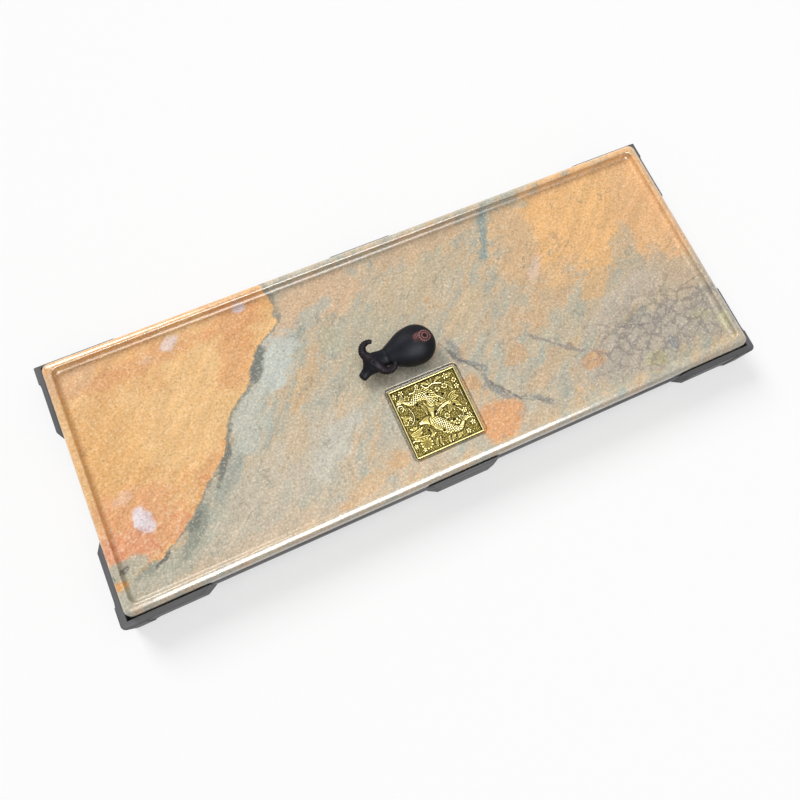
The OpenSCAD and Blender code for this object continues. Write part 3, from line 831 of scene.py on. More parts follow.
@dataclass(frozen=True)
class Disc:
    """A round lotus leaf, bud or fruit with a raised rim and veins from its middle."""

    at: Point
    r: float
    height: float = 0.9
    veins: int = 9

    def relief(self, x: Array, y: Array) -> Array:
        """Height: a shallow dish with a raised rim and radial veins."""
        dx, dy = x - self.at[0], y - self.at[1]
        far, turn = np.hypot(dx, dy) / self.r, np.arctan2(dy, dx)
        edge = 1 + 0.06 * np.cos(self.veins * turn)
        dish = 0.5 + 0.4 * far**2 + 0.16 * np.cos(self.veins * turn) * np.clip(far, 0, 1)
        return np.where(far < edge, self.height * dish * np.clip(7 * (edge - far), 0, 1) ** 0.5, 0)


@dataclass(frozen=True)
class Flower:
    """A small five-petalled flower with a round heart."""

    at: Point
    r: float = 2.7
    turn: float = 0
    height: float = 1.0
    petals: int = 5

    def relief(self, x: Array, y: Array) -> Array:
        """Height: domed petals between dents, and a knob in the middle."""
        dx, dy = x - self.at[0], y - self.at[1]
        far = np.hypot(dx, dy) / self.r
        wave = np.abs(np.cos(self.petals / 2 * (np.arctan2(dy, dx) - math.radians(self.turn))))
        edge = 0.62 + 0.38 * wave
        petal = self.height * (0.45 + 0.45 * wave) * np.clip(4 * (edge - far), 0, 1) ** 0.5
        petal *= np.clip(0.35 + 1.2 * far, 0, 1)
        return np.maximum(petal, 0.9 * self.height * np.sqrt(np.clip(1 - (far / 0.26) ** 2, 0, 1)))


@dataclass(frozen=True)
class Carp:
    """A carp seen from its side: a scaled, domed body, a rayed back fin and a fanned tail."""

    path: tuple[Point, ...]
    widths: tuple[float, ...]
    tail_turn: float
    fin_side: int
    height: float = 1.2

    def body(self, x: Array, y: Array) -> Array:
        """Height of the body from head to tail: a dome with rows of scales behind the gill, and an eye."""
        line = smooth_path(self.path, 48)
        share, off = along(line, x, y)
        wide = np.interp(share, np.linspace(0, 1, len(self.widths)), self.widths)
        v = off / wide
        dome = self.height * np.clip(1 - v**2, 0, 1) ** 0.4
        length = np.linalg.norm(np.diff(line, axis=0), axis=1).sum()
        # crossing grooves 2.5 mm apart cut the scales as lozenges
        grooves = [np.abs(np.sin(np.pi * (share * length + way * off) / 2.5)) for way in (-1, 1)]
        scale = np.clip(1.5 * np.minimum(*grooves), 0, 1)
        scaled = np.clip((share - 0.22) * 12, 0, 1) * np.clip((0.96 - share) * 12, 0, 1)
        gill = -0.5 * np.exp(-(((share - 0.19 - 0.04 * v**2) / 0.014) ** 2))
        body = dome * (1 - 0.7 * (1 - scale) * scaled + gill)
        eye = line[0] + 0.1 * (line[8] - line[0]) * 5 / 1.6
        far = np.hypot(x - eye[0], y - eye[1])
        eye_ring = 0.25 * np.exp(-(((far - 0.85) / 0.25) ** 2)) - 0.3 * np.exp(-((far / 0.45) ** 2))
        return np.where(np.abs(v) < 1, body + eye_ring * (far < 1.6), 0)

    def fins(self, x: Array, y: Array) -> Array:
        """Height of the back fin, a rayed band beside the body, and of the tail, a rayed fan."""
        line = smooth_path(self.path, 48)
        share, off = along(line, x, y)
        wide = np.interp(share, np.linspace(0, 1, len(self.widths)), self.widths)
        out = self.fin_side * off - wide
        crest = 2.6 * np.clip((share - 0.22) * 7, 0, 1) * np.clip((0.75 - share) * 7, 0, 1)
        rays = 0.55 + 0.3 * np.cos(2 * np.pi * (share * 30 + out / 3))
        band = np.where((out > -0.5) & (out < crest) & (crest > 0.3), 0.75 * self.height * rays, 0)
        dx, dy = x - line[-1, 0], y - line[-1, 1]
        far = np.hypot(dx, dy)
        turn = (np.degrees(np.arctan2(dy, dx)) - self.tail_turn + 180) % 360 - 180
        notch = 7.5 * (0.72 + 0.28 * np.abs(np.sin(np.radians(turn) * 2.2)))
        fan = np.where((np.abs(turn) < 46) & (far < notch), 0.75 + 0.25 * np.cos(np.radians(turn * 26)), 0)
        return np.maximum(band, 0.85 * self.height * fan * np.clip(3 * (notch - far), 0, 1) ** 0.5)

    def relief(self, x: Array, y: Array) -> Array:
        """Height of the whole carp."""
        return np.maximum(self.body(x, y), self.fins(x, y))


def blurred(grid: Array, times: int) -> Array:
    """Averages each value of a grid with its four neighbours, a number of times.

    Args:
        grid: The values.
        times: How often.

    Returns:
        The smoothed values.
    """
    for _ in range(times):
        g = np.pad(grid, 1, mode="edge")
        grid = (g[:-2, 1:-1] + g[2:, 1:-1] + g[1:-1, :-2] + g[1:-1, 2:] + grid) / 5
    return grid


@dataclass(frozen=True)
class CastBrass:
    """Cast brass, darkened and rubbed: bright yellow edges over hollows with a dark olive film. The colour is
    partly patina and wear, and partly painted shade in the hollows and painted highlights on the edges and tops.
    """

    name: str = "cast_brass"

    def build(self) -> bpy.types.Material:
        """Builds the material from the cover's stored patina and painted light.

        Returns:
            The material.
        """
        material, shader, where = new_material(self.name)
        tree = material.node_tree
        # painted light: the stored value darkens the hollows and lightens the edges and tops, partly as patina
        # and wear, partly as painted shade and painted highlights
        patina_and_painted_light = add_node(tree, "ShaderNodeAttribute", {}, attribute_name="patina_and_painted_light")
        cloud = add_node(tree, "ShaderNodeTexNoise", {"Vector": where, "Scale": 1 / 2.2, "Detail": 5})
        uneven = {0: cloud.outputs[0], 1: 0.3, 2: patina_and_painted_light.outputs["Fac"]}
        mixed = add_node(tree, "ShaderNodeMath", uneven, operation="MULTIPLY_ADD").outputs[0]
        colour = add_node(
            tree,
            "ShaderNodeValToRGB",
            {"Fac": mixed},
            stops=(
                (0.12, "#221d0c"), (0.34, "#564c24"), (0.6, "#8a7f4b"), (0.82, "#b3a976"), (1.0, "#d8d0a8"),
            ),
        )  # fmt: skip
        tree.links.new(colour.outputs[0], shader.inputs["Base Color"])
        rough = add_node(tree, "ShaderNodeMapRange", {"Value": mixed, 1: 0.15, 2: 1.0, 3: 0.55, 4: 0.36})
        tree.links.new(rough.outputs[0], shader.inputs["Roughness"])
        fine = add_node(tree, "ShaderNodeTexNoise", {"Vector": where, "Scale": 1 / 0.6, "Detail": 3})
        height = {"Height": fine.outputs[0], "Strength": 0.25, "Distance": 0.0001}
        bump = add_node(tree, "ShaderNodeBump", height)
        tree.links.new(bump.outputs[0], shader.inputs["Normal"])
        shader.inputs["Metallic"].default_value = 1
        return material


@dataclass
class DrainCover:
    """The loose square cover: two carps and a lotus in relief inside a thin frame, with drain holes."""

    side: float = 66
    height: float = 3.2
    plate: float = 1.8
    frame_w: float = 1.8
    corner_r: float = 2
    centre: Point = (1, -58)
    seat_z: float = 30.5
    hole_d: float = 2.6
    cells: int = 72
    finer: int = 3
    holes: tuple[Point, ...] = field(
        default_factory=lambda: (
            (0.0, 0.0),
            *((17.82 * math.cos(k * math.pi / 4), 17.82 * math.sin(k * math.pi / 4)) for k in range(8)),
        )
    )
    motifs: tuple[Carp | Disc | Flower | Leaf | Ridge, ...] = (
        Carp(((-3, -60), (-1.5, -53), (1.5, -45.5), (-2, -40), (-9, -39), (-16, -42), (-21.5, -39.5)),
             (1.6, 3.6, 4.4, 4.6, 4.3, 3, 1.5), 130, -1),
        Carp(((-16, -62.5), (-10, -62), (-3, -64.5), (3, -70), (8.5, -77), (15, -79.5), (20, -76)),
             (1.4, 4.0, 4.6, 4.6, 3.8, 2.6, 1.4), 62, -1),
        Leaf((15.75, -54.5), (16.5, -44.5), 1.9), Leaf((15.75, -54.5), (26, -47), 2.3),
        Leaf((15.75, -54.5), (26.5, -52), 2.2), Leaf((15.75, -54.5), (24.5, -61), 2.0),
        Leaf((15.75, -54.5), (17.5, -63), 1.7), Leaf((15.75, -54.5), (11.5, -63.5), 1.8),
        Leaf((15.75, -54.5), (8.5, -48), 1.8), Leaf((9, -53), (3.5, -49.5), 1.6),
        Flower((15.75, -54.5), 1.9, 0, 1.25, 8),
        Ridge(((15, -54), (10, -55), (5, -57), (0.5, -60)), 0.6, 1.0, 2),
        Ridge(((5, -44), (9, -45.5), (13, -50)), 0.7, 0.9),
        Leaf((-16, -66), (-28.5, -68.5), 1.9), Leaf((-17, -69.5), (-28, -70), 1.4),
        Leaf((-13, -75), (-27, -72.5), 2.2), Leaf((-20, -64), (-27, -63.5), 1.4),
        Disc((-18, -80.5), 5.8, 0.85, 11), Disc((10, -73), 2.7, 1.0, 5), Disc((15.2, -73.2), 2.7, 1.0, 5),
        Disc((9, -65), 2.6, 0.9, 6), Disc((-27.5, -57), 2.6, 0.9, 5), Disc((-18, -36.5), 2.7, 0.85, 7),
        Flower((-28.2, -31), 2.9, 10), Flower((-21.2, -30.2), 2.9, 40), Flower((22.5, -30.5), 3.1, 20),
        Flower((28.5, -43), 2.8, 0), Flower((25.8, -66), 2.6, 30), Flower((27.8, -72), 2.8, 55),
        Flower((28, -79), 2.7, 15), Flower((-28, -80), 2.3, 15), Flower((-5.5, -29.5), 2.2, 0),
        Flower((-22, -85.5), 2.0, 25), Flower((21, -85), 2.5, 0), Flower((-22.5, -55), 2.0, 0),
        Disc((11, -39), 2.3, 1.1, 3), Disc((18.3, -38.8), 2.7, 1.1, 6), Disc((28.6, -37), 2.2, 1.0, 4),
        Ridge(((-14, -33.5), (-10, -34), (-7, -31.5), (-4, -34)), 0.7, 0.9),
        Ridge(((-1, -30.5), (2.5, -34.5), (8, -33), (12, -33.5), (17, -35.5)), 0.85, 1.0),
        Leaf((-1, -29), (5.5, -32), 1.2), Leaf((9, -33), (10, -27), 1.1), Leaf((9, -33), (5.5, -28), 1.0),
        Leaf((11, -32), (19, -30), 1.3), Leaf((20, -35), (24, -44), 1.7), Leaf((24, -33), (29, -30), 1.2),
        Ridge(((-30, -44), (-28, -40.8), (-25, -41.5), (-23.5, -46)), 0.7, 0.9),
        Ridge(((-26, -46), (-24.5, -44), (-27, -43)), 0.5, 0.8),
        Leaf((-21, -53.5), (-30, -49.5), 1.3), Leaf((-30, -60), (-25, -51), 1.2),
        Ridge(((-20, -46), (-18.5, -52), (-20, -58), (-24, -61)), 0.6, 0.8),
        Leaf((-9, -47), (-7, -57), 1.5), Leaf((-6, -46), (-3.5, -55), 1.2), Leaf((4, -61), (8, -58), 1.0),
        Leaf((-10, -87.5), (-7, -79.5), 1.3), Leaf((-5, -88), (-4.5, -79.5), 1.2),
        Leaf((2.5, -88), (3, -82), 1.2), Leaf((4, -88), (9, -83.5), 1.4), Leaf((10, -87.5), (16, -84), 1.5),
        Ridge(((21, -62), (23.5, -67), (22, -72)), 0.6, 0.8), Ridge(((23, -75), (26, -74), (30, -75)), 0.6, 0.8),
        Ridge(((29.8, -48), (30, -56), (29.5, -62)), 0.5, 0.7), Leaf((-12, -77), (-6, -75), 1.0),
        Leaf((-12, -68), (-9, -77), 1.1), Ridge(((-30, -76), (-27, -75), (-23, -76.5)), 0.6, 0.8),
    )  # fmt: skip

    def relief(self, x: Array, y: Array) -> Array:
        """Height above the plate's hollows: the highest motif, a frame with a rounded top and a fine
        uneven ground.

        Args:
            x: Places from left to right in millimetres.
            y: Places from front to back in millimetres.

        Returns:
            The heights.
        """
        ground = 0.16 * (np.sin(x * 1.9 + 2 * np.sin(y * 0.9)) * np.sin(y * 2.1 + 2 * np.sin(x * 0.8)) + 1)
        made = np.maximum.reduce([ground, *(m.relief(x, y) for m in self.motifs)])
        made = np.clip(made, 0, self.height - self.plate - 0.1)
        inset = self.side / 2 - np.maximum(np.abs(x - self.centre[0]), np.abs(y - self.centre[1]))
        made *= np.clip((inset - self.frame_w - 0.1) / 0.7, 0, 1)
        across = (inset - self.frame_w / 2) / (self.frame_w / 2)
        frame = (self.height - self.plate) * np.clip(1 - np.abs(across) ** 3.5, 0, 1) ** 0.5
        return np.maximum(made, np.where(inset < self.frame_w, np.maximum(frame, 0), 0))

    def plan(self, count: int) -> tuple[Array, Array]:
        """A grid over the cover, pulled in at the corners so that its edge is rounded there.

        Args:
            count: Number of cells along each side.

        Returns:
            Places along x and y, from the cover's middle.
        """
        line = np.linspace(-self.side / 2, self.side / 2, count + 1)
        x, y = np.meshgrid(line, line)
        r, flat = self.corner_r, self.side / 2 - self.corner_r
        u, v = np.clip((np.abs(x) - flat) / r, 0, 1), np.clip((np.abs(y) - flat) / r, 0, 1)
        both = (u > 0) & (v > 0)
        x = np.where(both, np.sign(x) * (flat + r * u * np.sqrt(1 - v**2 / 2)), x)
        y = np.where(both, np.sign(y) * (flat + r * v * np.sqrt(1 - u**2 / 2)), y)
        return x, y

    def build(self) -> bpy.types.Object:
        """Builds and dresses the cover: a fine grid on top, a coarse one below, and walls of polygons
        with one coarse edge and as many fine ones. Around each hole the grid is pulled to a circle.

        Returns:
            The cover.
        """
        n, f = self.cells, self.finer
        top_x, top_y = self.plan(n * f)
        low_x, low_y = self.plan(n)
        open_cell = np.zeros((n, n), bool)
        cell = self.side / n
        for hx, hy in self.holes:
            i, j = round((hy + self.side / 2) / cell - 1.5), round((hx + self.side / 2) / cell - 1.5)
            open_cell[i : i + 3, j : j + 3] = True
            for gx, gy, k in ((top_x, top_y, f), (low_x, low_y, 1)):
                block = np.s_[i * k : (i + 3) * k + 1, j * k : (j + 3) * k + 1]
                px, py = gx[block] - hx, gy[block] - hy
                edge = np.zeros(px.shape, bool)
                edge[[0, -1], :] = edge[:, [0, -1]] = True
                pull = np.where(edge, self.hole_d / 2 / np.maximum(np.hypot(px, py), 0.2), 1)
                gx[block], gy[block] = hx + px * pull, hy + py * pull
        cx, cy = self.centre
        up = self.relief(top_x + cx, top_y + cy)
        edge = np.zeros(up.shape, bool)
        edge[[0, -1], :] = edge[:, [0, -1]] = True
        up = np.where(edge, self.height - self.plate - 0.9, up)
        top = np.stack([top_x + cx, top_y + cy, self.seat_z + self.plate + up], -1).reshape(-1, 3)
        low = np.stack([low_x + cx, low_y + cy, np.full(low_x.shape, self.seat_z)], -1).reshape(-1, 3)
        tn, ln = n * f + 1, n + 1
        number = np.arange(tn * tn).reshape(tn, tn)
        under = tn * tn + np.arange(ln * ln).reshape(ln, ln)
        shown = ~np.kron(open_cell, np.ones((f, f), bool))
        quads = np.stack([number[:-1, :-1], number[:-1, 1:], number[1:, 1:], number[1:, :-1]], -1)[shown]
        floor = np.stack([under[:-1, :-1], under[1:, :-1], under[1:, 1:], under[:-1, 1:]], -1)[~open_cell]
        solid = np.pad(~open_cell, 1)
        walls = []
        steps = np.arange(f + 1)
        for di, dj in ((-1, 0), (1, 0), (0, -1), (0, 1)):
            beside = np.roll(solid, (-di, -dj), (0, 1))[1:-1, 1:-1]
            i, j = np.nonzero(solid[1:-1, 1:-1] & ~beside)
            if dj == 0:
                line = i + (di == 1)
                fine = number[(line * f)[:, None], j[:, None] * f + steps]
                coarse = np.stack([under[line, j], under[line, j + 1]], -1)
            else:
                line = j + (dj == 1)
                fine = number[i[:, None] * f + steps, (line * f)[:, None]]
                coarse = np.stack([under[i, line], under[i + 1, line]], -1)
            wall = np.concatenate([coarse, fine[:, ::-1]], 1)
            walls.append(wall if (di, dj) in ((-1, 0), (0, 1)) else wall[:, ::-1])
        points = np.concatenate([top, low])
        faces = [quads, floor, np.concatenate(walls)]
        used = np.unique(np.concatenate([a.ravel() for a in faces]))
        renumber = np.zeros(len(points), int)
        renumber[used] = np.arange(len(used))
        cover = mesh_object("relief_drain_cover", points[used], [renumber[a] for a in faces], 75)
        # hollows darker and ridges and higher parts lighter: partly patina and wear, partly painted shade and
        # painted highlights; the frame gets less of it
        detail = up - blurred(up, 14)
        inset = self.side / 2 - np.maximum(np.abs(top_x), np.abs(top_y))
        patina_and_light_share = np.where(inset < self.frame_w, 0.55, 1)
        patina_and_painted_light = np.clip(0.14 + patina_and_light_share * (1.5 * detail + 0.22 * up), 0, 1).ravel()
        paint(cover, "patina_and_painted_light", np.concatenate([patina_and_painted_light, np.full(low[:, 0].size, 0.2)])[used])
        cover.data.materials.append(CastBrass().build())
        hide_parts("drain_cover")
        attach(cover, "cover")
        log.info("drain cover: %d motifs, %d faces", len(self.motifs), len(cover.data.polygons))
        return cover


# ---------------------------------------------------------------------------------------------------
# The tea pet
# ---------------------------------------------------------------------------------------------------


@dataclass(frozen=True)
class DarkClay:
    """Unglazed stoneware clay, slip-cast and burnished: blue-black with a soft sheen, and a rosette brushed with
    red-brown slip whose raised parts are painted lighter as a painted highlight."""

    name: str = "unglazed_dark_clay"

    def build(self) -> bpy.types.Material:
        """Builds the material from the stored rosette and relief.

        Returns:
            The material.
        """
        material, shader, where = new_material(self.name)
        tree = material.node_tree
        cloud = add_node(tree, "ShaderNodeTexNoise", {"Vector": where, "Scale": 1 / 6, "Detail": 5})
        clay = add_node(
            tree,
            "ShaderNodeValToRGB",
            {"Fac": cloud.outputs[0]},
            stops=((0.35, "#0b0c12"), (0.65, "#12141e")),
        )
        raised = add_node(tree, "ShaderNodeAttribute", {}, attribute_name="raised")
        # painted highlight: the slip's colour is lighter where the surface is raised
        slip = add_node(
            tree,
            "ShaderNodeValToRGB",
            {"Fac": raised.outputs["Fac"]},
            stops=((0.1, "#241012"), (0.45, "#452023"), (1.0, "#b58884")),
        )
        rosette = add_node(tree, "ShaderNodeAttribute", {}, attribute_name="rosette")
        colours = {0: rosette.outputs["Fac"], 6: clay.outputs[0], 7: slip.outputs[0]}
        colour = add_node(tree, "ShaderNodeMix", colours, data_type="RGBA")
        tree.links.new(colour.outputs[2], shader.inputs["Base Color"])
        # the clay's sand is about 0.4 mm
        sand = add_node(tree, "ShaderNodeTexNoise", {"Vector": where, "Scale": 1 / 0.7, "Detail": 4})
        rough = add_node(
            tree, "ShaderNodeMapRange", {"Value": sand.outputs[0], 1: 0.3, 2: 0.7, 3: 0.42, 4: 0.6}
        )
        tree.links.new(rough.outputs[0], shader.inputs["Roughness"])
        bump = add_node(
            tree, "ShaderNodeBump", {"Height": sand.outputs[0], "Strength": 0.2, "Distance": 0.0001}
        )
        tree.links.new(bump.outputs[0], shader.inputs["Normal"])
        shader.inputs["IOR"].default_value = 1.5
        shader.inputs["Specular IOR Level"].default_value = 0.1
        return material


@dataclass
class TeaPet:
    """The small clay ox: one surface carried along a spine from the round end to the nose, two horns
    that curl back, and carving raised on the surface."""

    x: float = 6.5
    y: float = 2
    rise: float = 14
    r: float = 18.5
    neck_at: float = 36
    neck_r: float = 7
    flatness: float = 0.88
    head_turn: float = 28
    skull_r: float = 8.4
    muzzle_r: float = 4.4
    head_l: float = 21
    horn_reach: float = 16.8
    horn_r: float = 3
    rings: int = 230
    sides: int = 240

    def head_place(self, ahead: Array | float, aside: Array | float) -> tuple[Array, Array]:
        """Turns places in the head's own plan into the tray's.

        Args:
            ahead: Distance from the back of the skull towards the nose.
            aside: Distance to the head's left.

        Returns:
            Places along x and y.
        """
        a = math.radians(180 + self.head_turn)
        x = self.x - self.neck_at + 1 + ahead * math.cos(a) - aside * math.sin(a)
        y = self.y + 2 + ahead * math.sin(a) + aside * math.cos(a)
        return x, y

    def head_plan(self, x: Array, y: Array) -> tuple[Array, Array]:
        """Turns the tray's places into the head's own plan: the inverse of head_place."""
        a = math.radians(180 + self.head_turn)
        dx, dy = x - (self.x - self.neck_at + 1), y - (self.y + 2)
        return dx * math.cos(a) + dy * math.sin(a), dy * math.cos(a) - dx * math.sin(a)

    def spine(self) -> Array:
        """Keys along the pet from the middle of its round end: distance, x, y, height, half width and
        half height. The body's width falls like a cosine, as in the solid.

        Returns:
            One row for each key.
        """
        s = np.linspace(0, 0.84, 8)
        width = self.neck_r + (self.r - self.neck_r) * (1 + np.cos(np.pi * s**1.15)) / 2
        body = np.stack(
            [self.x - self.neck_at * s, self.y + 0 * s, self.rise - 1.5 * s, width, width * self.flatness], -1
        )
        ahead = self.head_l * np.array([0.27, 0.42, 0.58, 0.73, 0.86, 0.97])
        x, y = self.head_place(ahead, 0)
        low = np.array([0.2, -0.4, -1.9, -3.8, -5.0, -5.3])
        half_w = np.array([1.1, 1.08, 0.84, 0.6, 0.53, 0.5]) * self.skull_r
        half_h = np.array([0.9, 0.9, 0.78, 0.64, 0.56, 0.52]) * self.skull_r
        head = np.stack([x, y, self.rise + low, half_w, half_h], -1)
        keys = np.concatenate([body, head])
        far = np.concatenate(([0], np.cumsum(np.linalg.norm(np.diff(keys[:, :3], axis=0), axis=1))))
        return np.concatenate([far[:, None], keys], 1)

    def trunk(self) -> tuple[Array, Array]:
        """Body, neck and head: an upright ellipse carried along the spine, with round caps.

        Returns:
            The vertices as rings by sides by three, and their outward directions.
        """
        keys = self.spine()
        dense = smooth_path([tuple(k) for k in keys[:, 1:]], 400)
        far = np.concatenate(([0], np.cumsum(np.linalg.norm(np.diff(dense[:, :3], axis=0), axis=1))))
        end, nose = self.r, 2.6
        total = end + far[-1] + nose
        # rings crowd together towards both caps, where the surface turns
        t = (1 - np.cos(np.pi * (np.arange(self.rings) + 0.5) / self.rings)) / 2
        t = total * (0.55 * t + 0.45 * (np.arange(self.rings) + 0.5) / self.rings)
        place = np.clip(t - end, 0, far[-1])
        x, y, z, half_w, half_h = (np.interp(place, far, dense[:, k]) for k in range(5))
        heading = np.unwrap(np.arctan2(np.gradient(y), np.gradient(x)))
        heading = np.where(t < end + 1, math.pi, heading)
        heading = np.where(t > total - nose - 1, math.radians(180 + self.head_turn), heading)
        kernel = np.hanning(33) / np.hanning(33).sum()
        heading = np.convolve(np.pad(heading, 16, mode="edge"), kernel, "valid")
        back, ahead = np.clip(1 - t / end, 0, 1), np.clip(1 - (total - t) / nose, 0, 1)
        cap = np.sqrt(np.clip(1 - back**2, 0, 1)) * np.clip(1 - ahead**2.6, 0, 1) ** (1 / 2.6)
        shift = -end * back + nose * ahead
        x, y = x + shift * np.cos(heading), y + shift * np.sin(heading)
        a = 2 * np.pi * np.arange(self.sides) / self.sides
        side, up = np.cos(a)[None, :], np.sin(a)[None, :]
        w, h = (half_w * cap)[:, None], (half_h * cap)[:, None]
        px = x[:, None] + w * side * -np.sin(heading)[:, None]
        py = y[:, None] + w * side * np.cos(heading)[:, None]
        pz = z[:, None] + h * up
        points = np.stack([px, py, pz], -1)
        normal = np.cross(np.gradient(points, axis=0), np.roll(points, -1, 1) - np.roll(points, 1, 1))
        normal /= np.maximum(np.linalg.norm(normal, axis=-1, keepdims=True), 1e-9)
        outward = points - np.stack([x, y, z], -1)[:, None]
        normal *= np.sign((normal * outward).sum(-1, keepdims=True))
        return points, normal

    def rosette(self, x: Array, y: Array, up: Array) -> tuple[Array, Array]:
        """The carved flower on the body's top: two rings of petals around a hollow heart, and leaves.

        Args:
            x: Places from left to right.
            y: Places from front to back.
            up: Heights above the basin's floor.

        Returns:
            How far the surface is raised, and how much of the slip covers it.
        """
        dx, dy = x - 14.6, y - 2.6
        far, turn = np.hypot(dx, dy * 1.05), np.arctan2(dy, dx)
        inner = np.exp(-(((far - 2.7) / 0.95) ** 2)) * (0.75 + 0.25 * np.cos(13 * turn))
        outer = np.exp(-(((far - 5.0) / 1.1) ** 2)) * (0.7 + 0.3 * np.cos(19 * turn + 0.6))
        heart = -0.7 * np.exp(-((far / 1.2) ** 2))
        u, v = (x - 7.2) * 0.93 + (y - 4.2) * 0.36, (y - 4.2) * 0.93 - (x - 7.2) * 0.36
        leaf_in = np.clip(1 - (u / 6.5) ** 2 - (v / 4.3) ** 2, 0, 1) * (far > 4.6)
        leaf = leaf_in**0.5 * (0.6 + 0.4 * np.cos(2 * np.pi * (u + 0.8 * np.abs(v)) / 1.5))
        top = np.clip((up - self.rise) / 4, 0, 1)
        cover = np.clip((1 - np.hypot((x - 12.2) / 9.6, (y - 3) / 6.2)) * 6, 0, 1) * top
        return 0.75 * top * np.maximum(np.maximum(inner, outer) + heart, 0.85 * leaf), cover

    def carving(self, points: Array) -> tuple[Array, Array]:
        """Raised and sunk parts: the rosette, forehead curls, eyes, nostrils and mouth.

        Args:
            points: Places on the trunk, heights from the basin's floor.

        Returns:
            How far each place moves outwards, and how much slip covers it.
        """
        x, y, up = points[..., 0], points[..., 1], points[..., 2]
        raised, slip = self.rosette(x, y, up)
        ahead, aside = self.head_plan(x, y)
        on_head = np.clip((ahead + 1) / 2, 0, 1)
        top = np.clip((up - self.rise - 1) / 3, 0, 1)
        curls = 0 * x
        for a, b, spin in ((5.2, 0, 0), (7.6, 2.6, 1), (7.6, -2.6, -1), (9.8, 0.1, 1)):
            far, turn = np.hypot(ahead - a, aside - b), np.arctan2(aside - b, ahead - a)
            wave = np.cos(2 * turn * (spin or 1) + 2.6 * far)
            curls = np.maximum(curls, np.exp(-((far / 1.9) ** 2)) * (0.35 + 0.5 * wave))
        raised = raised + on_head * top * curls
        for flank in (-1, 1):
            far = np.hypot((ahead - 10.2) / 1.25, up - self.rise - 1.2)
            on_side = np.clip((flank * aside - 3.5) / 1.5, 0, 1) * on_head
            eye = 0.75 * np.sqrt(np.clip(1 - (far / 1.15) ** 2, 0, 1))
            lid = 0.45 * np.exp(-(((far - 1.6) / 0.35) ** 2))
            raised = raised + on_side * (eye + lid)
            far = np.hypot(ahead - 20.6, (aside - flank * 1.9) * 1.1) + 0.5 * np.abs(up - 10.6)
            raised = raised - 0.7 * on_head * np.exp(-((far / 0.9) ** 2))
        lip = np.exp(-(((up - 6.6 - 0.12 * (20 - ahead)) / 0.3) ** 2)) * np.clip((ahead - 14.5) / 1.5, 0, 1)
        brow = np.exp(-(((up - self.rise - 3.2) / 0.8) ** 2)) * np.exp(-(((ahead - 10.5) / 2.4) ** 2))
        return raised - 0.45 * lip + 0.35 * brow * on_head, slip

    def horn(self, flank: int) -> Array:
        """One horn: circles of falling size, carried out of the skull and round a curl, with ribs.

        Args:
            flank: 1 for the head's left horn and -1 for its right one.

        Returns:
            The vertices as rings by sides by three.
        """
        bend, root = 7.0, self.head_l * 0.3
        out = self.horn_reach - bend
        turn = np.radians(np.linspace(90, -66, 9))
        ahead = np.concatenate([[root - 0.3, root, root], root - bend + bend * np.sin(turn)])
        aside = np.concatenate([[1.5, 4.5, 7.5], out + bend * np.cos(turn)])
        lift = np.concatenate([[2.2, 1.8, 1.8], np.linspace(2, 3, 9)])
        size = np.concatenate([[5.8, 5.6, 4.7], self.horn_r * np.linspace(1.34, 0.62, 9)])
        keys = smooth_path([tuple(k) for k in np.stack([ahead, aside, lift, size], -1)], 120)
        share = np.linspace(0, 1, 120)
        ribbed = np.clip((share - 0.3) * 8, 0, 1) * np.clip((0.97 - share) * 8, 0, 1)
        ribs = 1 + 0.08 * np.sin(2 * np.pi * 16 * share) * ribbed
        size = keys[:, 3] * ribs * np.clip(1 - np.clip((share - 0.96) / 0.04, 0, 1) ** 2, 0.001, 1) ** 0.5
        x, y = self.head_place(keys[:, 0], flank * keys[:, 1])
        z = self.rise + keys[:, 2]
        path = np.stack([x, y, z], -1)
        forward = np.gradient(path, axis=0)
        forward /= np.linalg.norm(forward, axis=1, keepdims=True)
        across = np.cross(forward, (0, 0, 1))
        across /= np.linalg.norm(across, axis=1, keepdims=True)
        over = np.cross(across, forward)
        a = 2 * np.pi * np.arange(40) / 40
        circle = across[:, None] * np.cos(a)[None, :, None] + over[:, None] * np.sin(a)[None, :, None]
        return path[:, None] + size[:, None, None] * circle

    def build(self) -> bpy.types.Object:
        """Builds and dresses the pet.

        Returns:
            The pet.
        """
        points, normal = self.trunk()
        moved, slip = self.carving(points)
        trunk = points + normal * moved[..., None]
        shells = [(trunk, np.clip(moved / 0.7, 0, 1), slip)]
        for flank in (1, -1):
            horn = self.horn(flank)
            shells.append((horn, np.full(horn.shape[:2], 0.5), np.full(horn.shape[:2], 0.08)))
        all_points, quads, caps, raised, slips, first = [], [], [], [], [], 0
        for grid, lift, cover in shells:
            rings, sides = grid.shape[:2]
            poles = np.stack([grid[0].mean(0), grid[-1].mean(0)])
            all_points += [grid.reshape(-1, 3), poles]
            raised += [lift.ravel(), [0, 0]]
            slips += [cover.ravel(), [0, 0]]
            i = np.arange(sides)
            j = (i + 1) % sides
            pole, last = first + rings * sides, first + (rings - 1) * sides
            outer = ring_faces(rings, sides, first=first)
            start = np.stack([np.full(sides, pole), first + j, first + i], -1)
            end = np.stack([np.full(sides, pole + 1), last + i, last + j], -1)
            quads.append(outer)
            caps += [start, end]
            first += rings * sides + 2
        points = np.concatenate(all_points)
        # the foot is ground flat: heights below it are drawn up to it
        points[:, 2] = np.maximum(points[:, 2], 0) + BASIN_Z
        pet = mesh_object("ox_tea_pet", points, [np.concatenate(quads), np.concatenate(caps)], 70)
        # the stored height paints a highlight on the raised slip
        paint(pet, "raised", np.concatenate(raised))
        paint(pet, "rosette", np.concatenate(slips))
        pet.data.materials.append(DarkClay().build())
        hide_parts("tea_pet")
        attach(pet, "pet")
        log.info("tea pet: %d faces", len(pet.data.polygons))
        return pet


# ---------------------------------------------------------------------------------------------------
# The base and the fittings
# ---------------------------------------------------------------------------------------------------


class Grain(Enum):
    """Which way the wood's grain runs."""

    ALONG_X = "along_x"
    ALONG_Y = "along_y"
    MITRED = "mitred"


